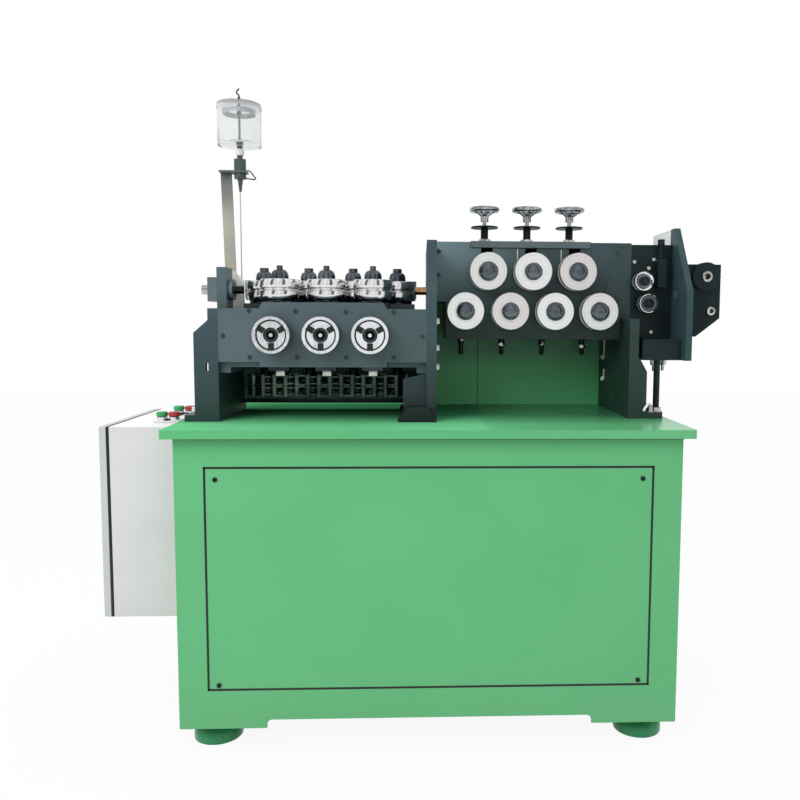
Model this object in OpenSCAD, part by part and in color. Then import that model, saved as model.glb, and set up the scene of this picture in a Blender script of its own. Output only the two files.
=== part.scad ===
// Pipe straightening machine: a welded green base cabinet carries two roll heads in line.
// The left head has vertical roll axes, the right head has horizontal ones.
// X runs along the pipe, Y goes away from the operator, Z is up from the floor.

/* [Table and base] */
// Width of the table top along the pipe
table_w = 1200; // [1150:10:1300]
// Depth of the table top
table_d = 700; // [690:10:800]
// Thickness of the table plate
table_t = 20; // [12:1:30]
// Height of the table's upper face above the floor
table_h = 755; // [650:5:900]
// How far the cabinet sides stand back from the table edge
base_side_in = 23; // [10:1:40]
// How far the cabinet front and rear stand back from the table edge
base_front_in = 25; // [10:1:40]
// Height of the cabinet's lower edge above the floor
base_clear = 58; // [50:1:80]
// Thickness of the cabinet's sheet metal
sheet_t = 4; // [2:0.5:6]
// Width of each leg at the cabinet's lower edge
leg_w = 200; // [120:5:260]
// Rise of the lower edge between the legs
leg_rise = 20; // [10:1:40]
// Corner radius of the rise between the legs
leg_r = 12; // [4:1:18]
// Margin of the front panel from the cabinet's sides
panel_side_in = 70; // [40:1:120]
// Margin of the front panel from the cabinet's upper edge
panel_top_in = 70; // [40:1:120]
// Margin of the front panel from the cabinet's lower edge
panel_low_in = 95; // [60:1:140]
// Open joint around the front panel
panel_gap = 3.5; // [2:0.5:6]
// Width of the lip that the front panel lies on
lip_w = 18; // [10:1:30]
// Thickness of the cabinet floor
floor_t = 6; // [4:1:10]
// Diameter of a levelling foot
foot_d = 115; // [80:1:130]
// Height of a levelling foot up to its neck
foot_h = 38; // [25:1:48]
// Distance of a foot's centre from the cabinet's side
foot_in = 66; // [60:1:120]
// Distance of a foot's centre from the cabinet's front and rear
foot_back = 92; // [60:1:120]

/* [Electrical box] */
// Width of the box along the cabinet's side
box_w = 400; // [350:5:450]
// Height of the box
box_h = 478; // [400:1:600]
// Depth of the box from the cabinet's side to the seam
box_d = 213; // [150:1:260]
// Distance of the box's front face from the table's front edge
box_y = 206; // [150:1:230]
// Wall of the box
box_wall = 3; // [2:0.5:5]
// Thickness of the door
door_t = 17; // [12:1:25]
// Open seam between the box and its door
seam = 5; // [3:0.5:8]
// Diameter of a push button's bezel
bezel_d = 28; // [26:0.5:30]

/* [Rolls] */
// Outer diameter of a roll
roll_d = 95; // [88:0.5:98]
// Thickness of a roll
roll_t = 49; // [40:0.5:54]
// Distance between rolls of one row
roll_pitch = 114; // [112:0.5:120]
// Gap between the rims of the two rows
row_gap = 5; // [4.6:0.1:10]
// Radius of the groove in a roll's rim
groove_r = 4; // [3:0.5:8]
// Diameter of a roll's spindle
spindle_d = 25; // [20:0.5:30]
// Height of the pipe's centre line above the table
pass_h = 318; // [310:1:340]
// Distance of the pipe's centre line from the table's front edge
pass_y = 275; // [265:1:290]

/* [Left head] */
// Distance of the left head's middle roll from the table's left edge
head1_x = 344; // [330:1:360]
// Thickness of the three upright stands
stand_t = 24; // [16:1:26]
// Distance from the middle roll to the left stand
head1_left = 248; // [240:1:260]
// Distance from the middle roll to the middle stand
head1_right = 246; // [240:1:260]
// Height of the left stand above the table
stand1_h = 270; // [250:1:285]
// Distance of the left head's front from the table's front edge
head1_y = 150; // [140:1:155]
// Thickness of the left head's front plate
plate1_t = 20; // [14:1:22]
// Height of the lower edge of the front plate above the table
plate1_low = 143; // [136:1:150]
// Height of the bed's upper face above the table
bed_top = 160; // [155:1:170]
// Thickness of the bed
bed_t = 30; // [20:1:34]
// Distance of the left head's rear plate from the table's front edge
rear_plate_y = 420; // [410:1:450]
// Height of the adjusting knobs above the table
knob_h = 208; // [200:1:216]
// Diameter of an adjusting knob
knob_d = 86; // [70:1:96]
// Length of an adjusting knob
knob_l = 42; // [30:1:48]
// Diameter of an adjusting screw
screw_d = 20; // [16:1:22]

/* [Right head] */
// Distance from the right head's middle roll to the middle stand
head2_left = 246; // [240:1:260]
// Distance from the right head's middle roll to the right stand
head2_right = 238; // [232:1:250]
// Height of the middle stand above the table
stand2_h = 434; // [425:1:440]
// Height of the roll plates above the pipe's centre line
plate2_top = 128; // [127:1:142]
// Height of the roll plates' lower edge above the table
plate2_low = 196; // [185:1:205]
// Thickness of the roll plates
plate2_t = 30; // [20:1:36]
// Room between the two roll plates
plate2_space = 122; // [110:1:130]
// Width of the slots for the upper rolls
slot_w = 30; // [28:1:36]
// Thickness of the bar over the upper slides
bar_t = 17; // [12:1:18]
// Diameter of a handwheel
wheel_d = 78; // [60:1:90]
// Height of a handwheel's rim above the bar
wheel_rise = 91; // [85:1:110]
// Diameter of a dial disc
dial_d = 72; // [50:1:90]

/* [Drive cover] */
// Distance of the drive cover from the table's front edge
cover_y = 545; // [520:1:560]
// Depth of the drive cover
cover_d = 140; // [100:1:145]
// Height of the drive cover
cover_h = 430; // [380:1:450]

/* [Oiler] */
// Diameter of the oil cup
cup_d = 108; // [90:1:120]
// Height of the oil cup
cup_h = 104; // [90:1:140]
// Height of the oil cup's lower face above the oiler lug
cup_z = 68; // [54:1:90]
// Height of the oiler lug above the table
lug_z = 616; // [605:1:628]

/* [Exit unit] */
// Width of the exit back plate
exit_w = 108; // [104:1:130]
// Thickness of the exit plates
exit_t = 16; // [12:1:20]
// Height of the exit unit's lower edge above the table
exit_low = 147; // [140:1:160]
// Diameter of an exit roller
exit_roll_d = 48; // [44:1:56]
// Reach of the hinge bracket to the right
bracket_w = 113; // [100:1:130]
// Radius of the larger bracket bore
bush_r = 7; // [5:0.5:9]
// Radius of the smaller bracket bore
bush2_r = 5; // [4:0.5:6]

/* [Hidden] */
$fn = 64;
// overrun of cuts, clearance of faces that move past each other, and of running fits
over = 1;
clear = 0.3;
fit = 0.05;

// colours
green = [0.41, 0.73, 0.50];
blue_grey = [0.30, 0.37, 0.40];
dark = [0.14, 0.17, 0.18];
steel = [0.78, 0.79, 0.80];
light_grey = [0.85, 0.86, 0.85];
brass = [0.78, 0.60, 0.36];

// cabinet
base_x = table_w / 2 - base_side_in;
base_y0 = base_front_in;
base_y1 = table_d - base_front_in;
base_top = table_h - table_t;
base_low_inner = base_clear + leg_rise;
panel_x = base_x - panel_side_in;
panel_z0 = base_clear + panel_low_in;
panel_z1 = base_top - panel_top_in;
table_r = 6;
foot_rim_h = 12;
foot_step = 15;
foot_neck_d = 40;
foot_stem_d = 24;
foot_x = base_x - foot_in;
foot_y0 = base_y0 + foot_back;
foot_y1 = base_y1 - foot_back;

// electrical box
box_x1 = -base_x;
box_x0 = box_x1 - box_d;
box_z1 = base_top;
box_z0 = box_z1 - box_h;
box_y1 = box_y + box_w;
collar_in = 8;
mouth_in = collar_in + box_wall;
door_x1 = box_x0 - seam;
door_x0 = door_x1 - door_t;
door_rim = 24;
door_skin = 2;
button_in = 113;
button_back = 100;
button_x = box_x1 - button_in;
button_y = box_y + button_back;
button_step_x = 31;
button_step_y = 141;
button_strip_t = 6;
button_strip_in = 20;
bezel_h = 8;
cap_d = 22;
cap_h = 14;

// rolls and pass line
pass_z = table_h + pass_h;
row = roll_d + row_gap;
bore_r = spindle_d / 2 + fit;
nut_seat_r = 26;
nut_seat_t = 10;
nut_gap = 1.2;
nut_sink = 1;
nut_r = nut_seat_r - nut_gap;
nut_t = nut_seat_t - nut_sink;
key_w = 7;
key_depth = 4;
roll_edge = 1.5;
collar_d = 40;
front_shares = [-1, 0, 1];
far_shares = [-1.5, -0.5, 0.5, 1.5];

// left head
mid_roll1_x = head1_x - table_w / 2;
front_y = pass_y - row / 2;
far_y = pass_y + row / 2;
stand1_x1 = mid_roll1_x - head1_left;
stand1_x0 = stand1_x1 - stand_t;
mid_x0 = mid_roll1_x + head1_right;
mid_x1 = mid_x0 + stand_t;
plate1_top = stand1_h;
plate1_mid_w = 302;
plate1_lift = 15;
plate1_drop = 12;
plate1_slope = 8;
cleat_w = 24;
cleat_h = 14;
rear_plate_t = 20;
rear_plate_low = 30;
rear_plate_top = 250;
collar_h = 8;
flange_d = 76;
roll_low = pass_h - roll_t / 2;
roll_top = pass_h + roll_t / 2;
slide1_top = roll_low - clear - collar_h;
slide1_w = 76;
slide1_d = 74;
tongue_w = 28;
tongue_d = 50;
slide1_in = 10;
slide1_out = 8;
keeper_t = 10;
keeper_w = 50;
keeper_d = 62;
foot_nut_w = 20;
foot_nut_h = 14;
bar1_d = 80;
bar1_end = 45;
rail_gap = 8;
rail_t = 16;
rail_h = 46;
rail_lift = 8;
rail_left = 62;
rail_right = 49;
rail_leg_w = 24;
rail_y = far_y + roll_d / 2 + rail_gap;
rail_low = roll_low + rail_lift;
dome_d = 42;
dome_h = 22;
dome_neck_d = 14;
far_neck_d = 22;
dome_neck_h = 11;
dome_base_h = 5;
dome_step = 15;
knob_gap = 14;
knob_boss_d = 36;
knob_rim = 7;
knob_dish = 6;
knob_slot_w = 14;
chain_low = 62;
chain_rise = 28;
chain_zs = [chain_low, chain_low + chain_rise];
links_per_roll = 4;
sprocket_teeth = 8;
chain_pitch = roll_pitch / links_per_roll;
sprocket_r = chain_pitch / (2 * sin(180 / sprocket_teeth));
tooth_rise = 1.2;
sprocket_t = 9;
sprocket_tail = 14;
sprocket_hub_r = 20;
chain_roller_r = 8;
chain_roller_h = 14;
chain_plate_t = 3;
chain_plate_r = 11;
chain_outer_r = 10;
chain_waist = 15;
chain_pin_r = 4;
chain_pin_out = 2;
links_per_run = links_per_roll * (len(far_shares) - 1);
chain_x0 = mid_roll1_x + far_shares[0] * roll_pitch;
chain_x1 = mid_roll1_x + far_shares[len(far_shares) - 1] * roll_pitch;

// stands
foot_plate_t = 16;
stand1_rib_w = 34;
stand1_rib_h = 242;
stand1_rib_fall = 30;
stand1_foot_out = 59;
lug_front = 34;
lug_rear = 30;
lug_rise = 55;
lug_y0 = pass_y - lug_front;
lug_y1 = pass_y + lug_rear;
lug_top = pass_h + lug_rise;
weld_slot_w = 6;
weld_slot_low = 121;
weld_slot_h = 19;
mid_rib_w = 57;
mid_rib_h = bed_top - bed_t - cleat_h - clear;
mid_rib_in = 20;
mid_rib_fall = 14;
mid_rib_y = head1_y + mid_rib_in;
mid_foot_out = 67;
mid_foot_d = 170;
mid_foot_t = 22;
toe_out = 69;
toe_top = 46;
toe_in = 4;
toe_low = 8;
toe_h = 36;
toe_front = 12;
toe_d = 40;
stand2_y = 213;
stand2_step = 250;
stand2_rib_w = 22;
stand2_rib_low = 118;
stand2_rib_h = 150;
stand2_rib_slim = 4;
stand2_foot_out = 64;
stand2_foot_d = 150;
rib_t = 16;

// entry guide and transfer tube
guide_bore_r = 6;
guide_tube_r = 10;
guide_hole_r = 15;
guide_flange_r = 26;
guide_flange_t = 12;
guide_tube_l = 22;
guide_block_w = 60;
guide_block_l = 24;
guide_nose_r = 12;
guide_nose_l = 20;
transfer_left = 29;
transfer_right = 3;

// right head
mid_roll2_x = mid_x1 + head2_left;
stand2_x0 = mid_roll2_x + head2_right;
stand2_x1 = stand2_x0 + stand_t;
roll_back = 5.5;
plate2_y = pass_y + roll_t / 2 + roll_back;
back_y = plate2_y + plate2_t + plate2_space;
plate2_high = pass_h + plate2_top;
upper_h = pass_h + row / 2;
lower_h = pass_h - row / 2;
slide2_down = 10;
tongue2_h = 44;
slide2_w = 88;
slide2_h = 80;
slot_room = 5;
bar_rise = 2;
slot_low = upper_h - tongue2_h / 2 - slide2_down - slot_room;
bar_low = plate2_high + bar_rise - bar_t;
notch_w = 26;
notch_h = 96;
bar_left = 42;
bar_right = 40;
bar_x0 = mid_roll2_x - roll_pitch - bar_left;
bar_x1 = mid_roll2_x + roll_pitch + bar_right;
bar_proud = 4;
bar_tail = 8;
collar2_d = 34;
collar2_h = 5;
screw_share = 0.45;
screw_y = plate2_y + plate2_t + plate2_space * screw_share;
dial_t = 4;
dial_rise = 46;
wheel_rim_r = 5;
hub_d = 22;
hub_h = 31;
hub_t = 16;
spoke_r = 3.5;
spoke_reach = wheel_d / 2 - wheel_rim_r;
wheel_drop = 22;
spoke_l = sqrt(spoke_reach * spoke_reach + wheel_drop * wheel_drop);
spoke_tilt = atan2(spoke_reach, wheel_drop);
wheel_stem_d = 11;
wheel_nut_d = 14;
wheel_nut_h = 7;
spindle2_tail = 14;
tail_nut_d = 40;
hang_nut_d = 18;
hang_nut_h = 13;
hang_screw_d = 13;
hang_screw_l = 46;

// drive cover
cover_side = 6;
cover_bevel = 30;
cover_seam_in = 151;
cover_seam_w = 1.6;
cover_seam_t = 1;

// oiler
oiler_back = 58;
oiler_in = 42;
oiler_foot_out = 2;
oiler_foot_in = 24;
oiler_y = pass_y + oiler_back;
cup_low = lug_z + cup_z;
oiler_x = stand1_x0 + oiler_in;
oiler_foot_x0 = stand1_x0 - oiler_foot_out;
oiler_foot_x1 = stand1_x1 + oiler_foot_in;
oiler_foot_cut = 18;
oiler_foot_top = 362;
oiler_foot_low = 215;
oiler_plate_t = 6;
oiler_bar_w = 28;
oiler_bar_t = 5;
oiler_lean = 10;
oiler_bar_in = 16;
oiler_lug_t = 5;
oiler_lug_w = 36;
cup_wall = 3;
cup_base_t = 6;
cup_lid_t = 5;
cup_rod_d = 5;
cup_hook_h = 26;
valve_d = 30;
valve_stem_d = 14;
valve_nut_h = 14;
valve_neck_d = 14;
valve_neck_h = 33;
nozzle_d = 14;
nozzle_tip_d = 6;
nozzle_h = 32;
drip_r = 1.5;
oiler_bar_x = stand1_x0 + oiler_bar_in;
gusset_x = oiler_bar_x + oiler_bar_w / 2;
gusset_share = (oiler_x + drip_r - gusset_x) / (oiler_foot_x1 - gusset_x);
drip_low = oiler_foot_top - oiler_foot_cut * gusset_share + clear;

// exit unit
exit_x0 = stand2_x1;
exit_x1 = exit_x0 + exit_w;
exit_y = plate2_y;
exit_drop = 4;
exit_top = plate2_high - exit_drop;
exit_plate_t = 20;
exit_pin_r = 6;
exit_roll_t = 40;
exit_gap = 4;
exit_upper_in = 21;
exit_lower_in = 34;
exit_roll_z = exit_roll_d / 2 + exit_gap;
exit_upper_x = exit_x0 + exit_upper_in;
exit_lower_x = exit_x0 + exit_lower_in;
exit_pin_head_r = 12;
exit_pin_head = 9;
exit_block_y = 215;
exit_block_h = 53;
exit_block_in = 10;
side_y = 184;
side_knee = 318;
side_top = 484;
side_back = 29;
post_in = 52;
post_back = 17;
adjust_in = 72;
post_x = exit_x0 + post_in;
post_r = 8;
post_y = exit_block_y + post_back;
adjust_x = exit_x0 + adjust_in;
adjust_w = 22;
adjust_d = 34;
adjust_low = 332;
adjust_top = 403;
adjust_screw_r = 5;
adjust_screw_top = 440;
adjust_knob_r = 9;
adjust_knob_h = 14;
bracket_t = 20;
bracket_y = exit_y;
exit_hole_r = 15;
bracket_low = 205;
bracket_top = 393;
bracket_cut_x = 62;
bracket_cut_z = 48;
boss_r = 37;
boss_t = 12;
boss_in = 41;
boss_h = 361;
bush2_in = 24;
bush2_h = 272;
bush_wall = 7;
bush_proud = 4;

// the part's own frame: middle of its outline on the floor
out_x0 = door_x0;
out_x1 = exit_x1 + exit_t + bracket_w;
shift_x = -(out_x0 + out_x1) / 2;
shift_y = -table_d / 2;

// helpers
// moves a piece from the table's frame to the part's own frame
module place() {
    translate([shift_x, shift_y, 0]) children();
}

// a box given by two corners
module span(x0, x1, y0, y1, z0, z1) {
    translate([x0, y0, z0]) cube([x1 - x0, y1 - y0, z1 - z0]);
}

// an outline in X and Z, thick along +Y from y
module plate_xz(points, y, t) {
    translate([0, y + t, 0]) rotate([90, 0, 0]) linear_extrude(t) polygon(points);
}

// an outline in Y and Z, thick along +X from x
module plate_yz(points, x, t) {
    translate([x, 0, 0]) rotate([90, 0, 90]) linear_extrude(t) polygon(points);
}

// a round bar along Y
module rod_y(r, x, z, y0, y1) {
    translate([x, y1, z]) rotate([90, 0, 0]) cylinder(r = r, h = y1 - y0);
}

// a round bar along X
module rod_x(r, y, z, x0, x1) {
    translate([x0, y, z]) rotate([0, 90, 0]) cylinder(r = r, h = x1 - x0);
}

// a round bar along Z
module rod_z(r, x, y, z0, z1) {
    translate([x, y, z0]) cylinder(r = r, h = z1 - z0);
}

// a wall outline from x0 to x1 whose lower edge rises between two legs
module leg_wall(x0, x1) {
    difference() {
        translate([x0, base_clear]) square([x1 - x0, base_top - base_clear]);
        translate([x0 + leg_w, base_clear - over]) {
            square([x1 - x0 - 2 * leg_w, leg_rise + over - leg_r]);
            translate([leg_r, 0]) square([x1 - x0 - 2 * leg_w - 2 * leg_r, leg_rise + over]);
            translate([leg_r, leg_rise + over - leg_r]) circle(r = leg_r);
            translate([x1 - x0 - 2 * leg_w - leg_r, leg_rise + over - leg_r]) circle(r = leg_r);
        }
    }
}

// a grooved roll standing on its back face, bored for a spindle, with a seat for its nut
module grooved_roll() {
    difference() {
        rotate_extrude() polygon([
            [bore_r, 0], [roll_d / 2 - roll_edge, 0], [roll_d / 2, roll_edge],
            [roll_d / 2, roll_t - roll_edge], [roll_d / 2 - roll_edge, roll_t], [bore_r, roll_t]]);
        rotate_extrude() translate([roll_d / 2, roll_t / 2]) circle(r = groove_r);
        translate([0, 0, roll_t - nut_seat_t]) cylinder(r = nut_seat_r, h = nut_seat_t + over);
    }
}

// a spindle standing on its shoulder, with the collar under the roll and the nut in its seat
module spindle(collar, collar_t) {
    cylinder(d = collar, h = collar_t);
    cylinder(d = spindle_d, h = collar_t + clear + roll_t - nut_seat_t + clear + nut_t);
    translate([0, 0, collar_t + clear + roll_t - nut_seat_t + clear]) difference() {
        cylinder(r = nut_r, h = nut_t);
        translate([-key_w / 2, -key_w / 2, nut_t - key_depth]) cube([key_w, key_w, key_depth + over]);
    }
}

// the bottle-shaped lock nut on top of an upright spindle: base, rounded shoulder and neck
module dome_nut(neck_d) {
    fall = (dome_d - neck_d) / 2;
    rotate_extrude() polygon(concat([[0, 0], [dome_d / 2, 0]], [for (a = [0 : dome_step : 180]) [
        neck_d / 2 + fall / 2 * (1 + cos(a)), dome_base_h + (dome_h - dome_base_h) * a / 180]],
        [[neck_d / 2, dome_h + dome_neck_h], [0, dome_h + dome_neck_h]]));
}

// an upright spindle with its flange, and the lock nut over the roll
module upright_spindle(neck_d) {
    nut_z = collar_h + clear + roll_t + clear;
    spindle(flange_d, collar_h);
    cylinder(d = spindle_d, h = nut_z + dome_base_h);
    translate([0, 0, nut_z]) dome_nut(neck_d);
}

// base
module table_top() {
    color(green) place() translate([-table_w / 2, 0, table_h - table_t]) linear_extrude(table_t) {
        translate([table_r, 0]) square([table_w - 2 * table_r, table_d]);
        translate([0, table_r]) square([table_w, table_d - 2 * table_r]);
        for (x = [table_r, table_w - table_r], y = [table_r, table_d - table_r]) {
            translate([x, y]) circle(r = table_r);
        }
    }
}

module base_front() {
    color(green) place() {
        difference() {
            translate([0, base_y0 + sheet_t, 0]) rotate([90, 0, 0]) linear_extrude(sheet_t)
                leg_wall(-base_x, base_x);
            span(-panel_x - panel_gap, panel_x + panel_gap, base_y0 - over, base_y0 + sheet_t + over,
                panel_z0 - panel_gap, panel_z1 + panel_gap);
        }
        difference() {
            span(-panel_x - lip_w, panel_x + lip_w, base_y0 + sheet_t, base_y0 + 2 * sheet_t,
                panel_z0 - lip_w, panel_z1 + lip_w);
            span(-panel_x + lip_w, panel_x - lip_w, base_y0, base_y0 + 2 * sheet_t + over,
                panel_z0 + lip_w, panel_z1 - lip_w);
        }
    }
}

module base_sides() {
    color(green) place() for (x = [-base_x, base_x - sheet_t]) {
        translate([x, 0, 0]) rotate([90, 0, 90]) linear_extrude(sheet_t)
            leg_wall(base_y0 + sheet_t, base_y1 - sheet_t);
    }
}

module base_rear() {
    color(green) place() translate([0, base_y1, 0]) rotate([90, 0, 0]) linear_extrude(sheet_t)
        leg_wall(-base_x, base_x);
}

module base_floor() {
    color(green) place() span(-base_x + sheet_t, base_x - sheet_t, base_y0 + sheet_t, base_y1 - sheet_t,
        base_low_inner, base_low_inner + floor_t);
}

module front_panel() {
    color(green) place() span(-panel_x, panel_x, base_y0, base_y0 + sheet_t, panel_z0, panel_z1);
}

module levelling_feet() {
    color(green) place() for (x = [-foot_x, foot_x], y = [foot_y0, foot_y1]) translate([x, y, 0]) {
        rotate_extrude() polygon(concat([[0, 0], [foot_d / 2, 0]], [for (a = [0 : foot_step : 90]) [
            foot_neck_d / 2 + (foot_d - foot_neck_d) / 2 * cos(a),
            foot_rim_h + (foot_h - foot_rim_h) * sin(a)]], [[0, foot_h]]));
        cylinder(d = foot_stem_d, h = base_low_inner);
    }
}

// electrical box
module electrical_box() {
    color(light_grey) place() {
        difference() {
            union() {
                span(box_x0, box_x1, box_y, box_y1, box_z0, box_z1);
                span(door_x1 + clear, box_x0 + over, box_y + collar_in, box_y1 - collar_in,
                    box_z0 + collar_in, box_z1 - collar_in);
            }
            span(box_x0 + box_wall, box_x1 - box_wall, box_y + box_wall, box_y1 - box_wall,
                box_z0 + box_wall, box_z1 - box_wall);
            span(door_x1, box_x1 - box_wall, box_y + mouth_in, box_y1 - mouth_in,
                box_z0 + mouth_in, box_z1 - mouth_in);
        }
    }
}

module electrical_door() {
    color(light_grey) place() difference() {
        span(door_x0, door_x1, box_y, box_y1, box_z0, box_z1);
        span(door_x0 + door_skin, door_x1 + over, box_y + door_rim, box_y1 - door_rim,
            box_z0 + door_rim, box_z1 - door_rim);
    }
}

module push_buttons() {
    color(light_grey) place() translate([button_x, button_y, box_z1]) {
        translate([-button_strip_in, -button_strip_in, 0]) cube([
            button_step_x + 2 * button_strip_in, button_step_y + 2 * button_strip_in, button_strip_t]);
        for (x = [0, button_step_x], y = [0, button_step_y]) translate([x, y, 0]) {
            cylinder(d = bezel_d, h = button_strip_t + bezel_h);
            cylinder(d = cap_d, h = button_strip_t + bezel_h + cap_h);
        }
    }
}

// stands
module left_stand() {
    color(blue_grey) place() translate([0, 0, table_h]) {
        difference() {
            plate_yz([[head1_y, 0], [rear_plate_y + rear_plate_t, 0],
                [rear_plate_y + rear_plate_t, stand1_h], [lug_y1, stand1_h], [lug_y1, lug_top],
                [lug_y0, lug_top], [lug_y0, stand1_h], [head1_y, stand1_h]], stand1_x0, stand_t);
            rod_x(guide_hole_r, pass_y, pass_h, stand1_x0 - over, stand1_x1 + over);
        }
        difference() {
            plate_xz([[stand1_x0 - stand1_rib_w, 0], [stand1_x0, 0], [stand1_x0, stand1_rib_h],
                [stand1_x0 - stand1_rib_w, stand1_rib_h - stand1_rib_fall]], head1_y, rib_t);
            span(stand1_x0 - weld_slot_w, stand1_x0 + over, head1_y - over, head1_y + rib_t + over,
                weld_slot_low, weld_slot_low + weld_slot_h);
        }
        span(stand1_x0 - stand1_foot_out, stand1_x1, head1_y, rear_plate_y + rear_plate_t, 0, foot_plate_t);
    }
}

module middle_stand() {
    color(blue_grey) place() translate([0, 0, table_h]) {
        difference() {
            span(mid_x0, mid_x1, head1_y, cover_y, 0, stand2_h);
            rod_x(guide_tube_r, pass_y, pass_h, mid_x0 - over, mid_x1 + over);
        }
        plate_xz([[mid_x0 - mid_rib_w, 0], [mid_x0, 0], [mid_x0, mid_rib_h],
            [mid_x0 - mid_rib_w, mid_rib_h - mid_rib_fall]], mid_rib_y, rib_t);
        span(mid_x0 - mid_foot_out, mid_x0, mid_rib_y - rib_t / 2, mid_rib_y + mid_foot_d, 0, mid_foot_t);
        plate_xz([[mid_x0 - toe_out, 0], [mid_x1, 0], [mid_x1, toe_low], [mid_x0 + toe_in, toe_h],
            [mid_x0 - toe_top, toe_h], [mid_x0 - toe_out, toe_low]], head1_y - toe_front, toe_d);
    }
}

module right_stand() {
    color(blue_grey) place() translate([0, 0, table_h]) {
        plate_yz([[stand2_y, 0], [cover_y, 0], [cover_y, plate2_high], [plate2_y, plate2_high],
            [plate2_y, stand2_step], [stand2_y, stand2_step]], stand2_x0, stand_t);
        plate_xz([[stand2_x1, 0], [stand2_x1 + stand2_rib_w, 0],
            [stand2_x1 + stand2_rib_w, stand2_rib_low], [stand2_x1 + stand2_rib_slim, stand2_rib_h],
            [stand2_x1, stand2_rib_h]], stand2_y, rib_t);
        span(stand2_x0, stand2_x1 + stand2_foot_out, stand2_y, stand2_y + stand2_foot_d, 0, foot_plate_t);
    }
}

// left head
module left_front_plate() {
    x0 = mid_roll1_x - plate1_mid_w / 2;
    x1 = mid_roll1_x + plate1_mid_w / 2;
    low = plate1_low - plate1_drop;
    top = plate1_top + plate1_lift;
    color(blue_grey) place() translate([0, 0, table_h]) difference() {
        plate_xz([[stand1_x1, plate1_low], [x0, plate1_low], [x0, low], [x1, low], [x1, plate1_low],
            [mid_x0, plate1_low], [mid_x0, plate1_top], [x1, plate1_top], [x1 - plate1_slope, top],
            [x0 + plate1_slope, top], [x0, plate1_top], [stand1_x1, plate1_top]], head1_y, plate1_t);
        for (i = front_shares) {
            rod_y(screw_d / 2 + clear, mid_roll1_x + i * roll_pitch, knob_h, head1_y - over,
                head1_y + plate1_t + over);
        }
    }
}

module left_bed() {
    color(blue_grey) place() translate([0, 0, table_h]) difference() {
        union() {
            span(stand1_x1, mid_x0, head1_y + plate1_t, rear_plate_y, bed_top - bed_t, bed_top);
            for (x = [stand1_x1, mid_x0 - cleat_w]) {
                span(x, x + cleat_w, head1_y + plate1_t, rear_plate_y, bed_top - bed_t - cleat_h, bed_top);
            }
            span(stand1_x1, mid_x0, rear_plate_y, rear_plate_y + rear_plate_t,
                rear_plate_low, rear_plate_top);
        }
        for (i = front_shares) {
            x = mid_roll1_x + i * roll_pitch;
            span(x - tongue_w / 2 - clear, x + tongue_w / 2 + clear,
                front_y - tongue_d / 2 - slide1_in - clear, front_y + tongue_d / 2 + slide1_out + clear,
                bed_top - bed_t - over, bed_top + over);
        }
    }
}

module rear_bearing_bar() {
    color(dark) place() translate([0, 0, table_h]) {
        span(chain_x0 - bar1_end, chain_x1 + bar1_end, far_y - bar1_d / 2, far_y + bar1_d / 2,
            bed_top, slide1_top);
        for (i = far_shares) translate([mid_roll1_x + i * roll_pitch, far_y, slide1_top])
            upright_spindle(far_neck_d);
        span(chain_x0 - rail_left, chain_x1 + rail_right, rail_y, rail_y + rail_t,
            rail_low, rail_low + rail_h);
        for (i = front_shares) {
            x = mid_roll1_x + i * roll_pitch;
            span(x - rail_leg_w / 2, x + rail_leg_w / 2, far_y + bar1_d / 2 - over, rail_y + rail_t,
                bed_top, rail_low + rail_h);
        }
    }
}

module drive_sprockets() {
    color(dark) place() for (i = far_shares) translate([mid_roll1_x + i * roll_pitch, far_y, table_h]) {
        rod_z(spindle_d / 2, 0, 0, chain_zs[0] - sprocket_tail, bed_top - bed_t);
        rod_z(sprocket_hub_r, 0, 0, chain_zs[0] - sprocket_t, chain_zs[1] + sprocket_t);
        for (z = chain_zs) translate([0, 0, z - sprocket_t / 2]) linear_extrude(sprocket_t) difference() {
            circle(r = sprocket_r + tooth_rise);
            for (k = [0 : sprocket_teeth - 1]) rotate(k * 360 / sprocket_teeth) translate([sprocket_r, 0])
                circle(r = chain_roller_r + clear);
        }
    }
}

// the chain's pins in order: front run, right bend, rear run, left bend
chain_turn = 360 / sprocket_teeth;
chain_bend = sprocket_teeth / 2 - 1;
chain_pins = concat(
    [for (k = [0 : links_per_run]) [chain_x0 + k * chain_pitch, far_y - sprocket_r]],
    [for (k = [1 : chain_bend]) [
        chain_x1 + sprocket_r * sin(k * chain_turn), far_y - sprocket_r * cos(k * chain_turn)]],
    [for (k = [0 : links_per_run]) [chain_x1 - k * chain_pitch, far_y + sprocket_r]],
    [for (k = [1 : chain_bend]) [
        chain_x0 - sprocket_r * sin(k * chain_turn), far_y + sprocket_r * cos(k * chain_turn)]]);

// a link plate from one pin to the next, waisted between its round ends
module link_plate(p, q, r) {
    d = q - p;
    translate(p) rotate(atan2(d[1], d[0])) {
        circle(r = r);
        translate([chain_pitch, 0]) circle(r = r);
        translate([0, -chain_waist / 2]) square([chain_pitch, chain_waist]);
    }
}

// a double roller chain: inner and outer links in turn on pins through both strands
module drive_chain() {
    n = len(chain_pins);
    inner = chain_roller_h / 2;
    outer = inner + chain_plate_t;
    color(steel) place() translate([0, 0, table_h]) {
        for (k = [0 : n - 1]) {
            p = chain_pins[k];
            q = chain_pins[(k + 1) % n];
            level = k % 2 == 0 ? inner : outer;
            r = k % 2 == 0 ? chain_plate_r : chain_outer_r;
            for (z = chain_zs, side = [level, -level - chain_plate_t]) translate([0, 0, z + side])
                linear_extrude(chain_plate_t) link_plate(p, q, r);
            for (z = chain_zs) rod_z(chain_roller_r, p[0], p[1], z - inner, z + inner);
            rod_z(chain_pin_r, p[0], p[1], chain_zs[0] - outer - chain_plate_t - chain_pin_out,
                chain_zs[1] + outer + chain_plate_t + chain_pin_out);
        }
    }
}

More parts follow.
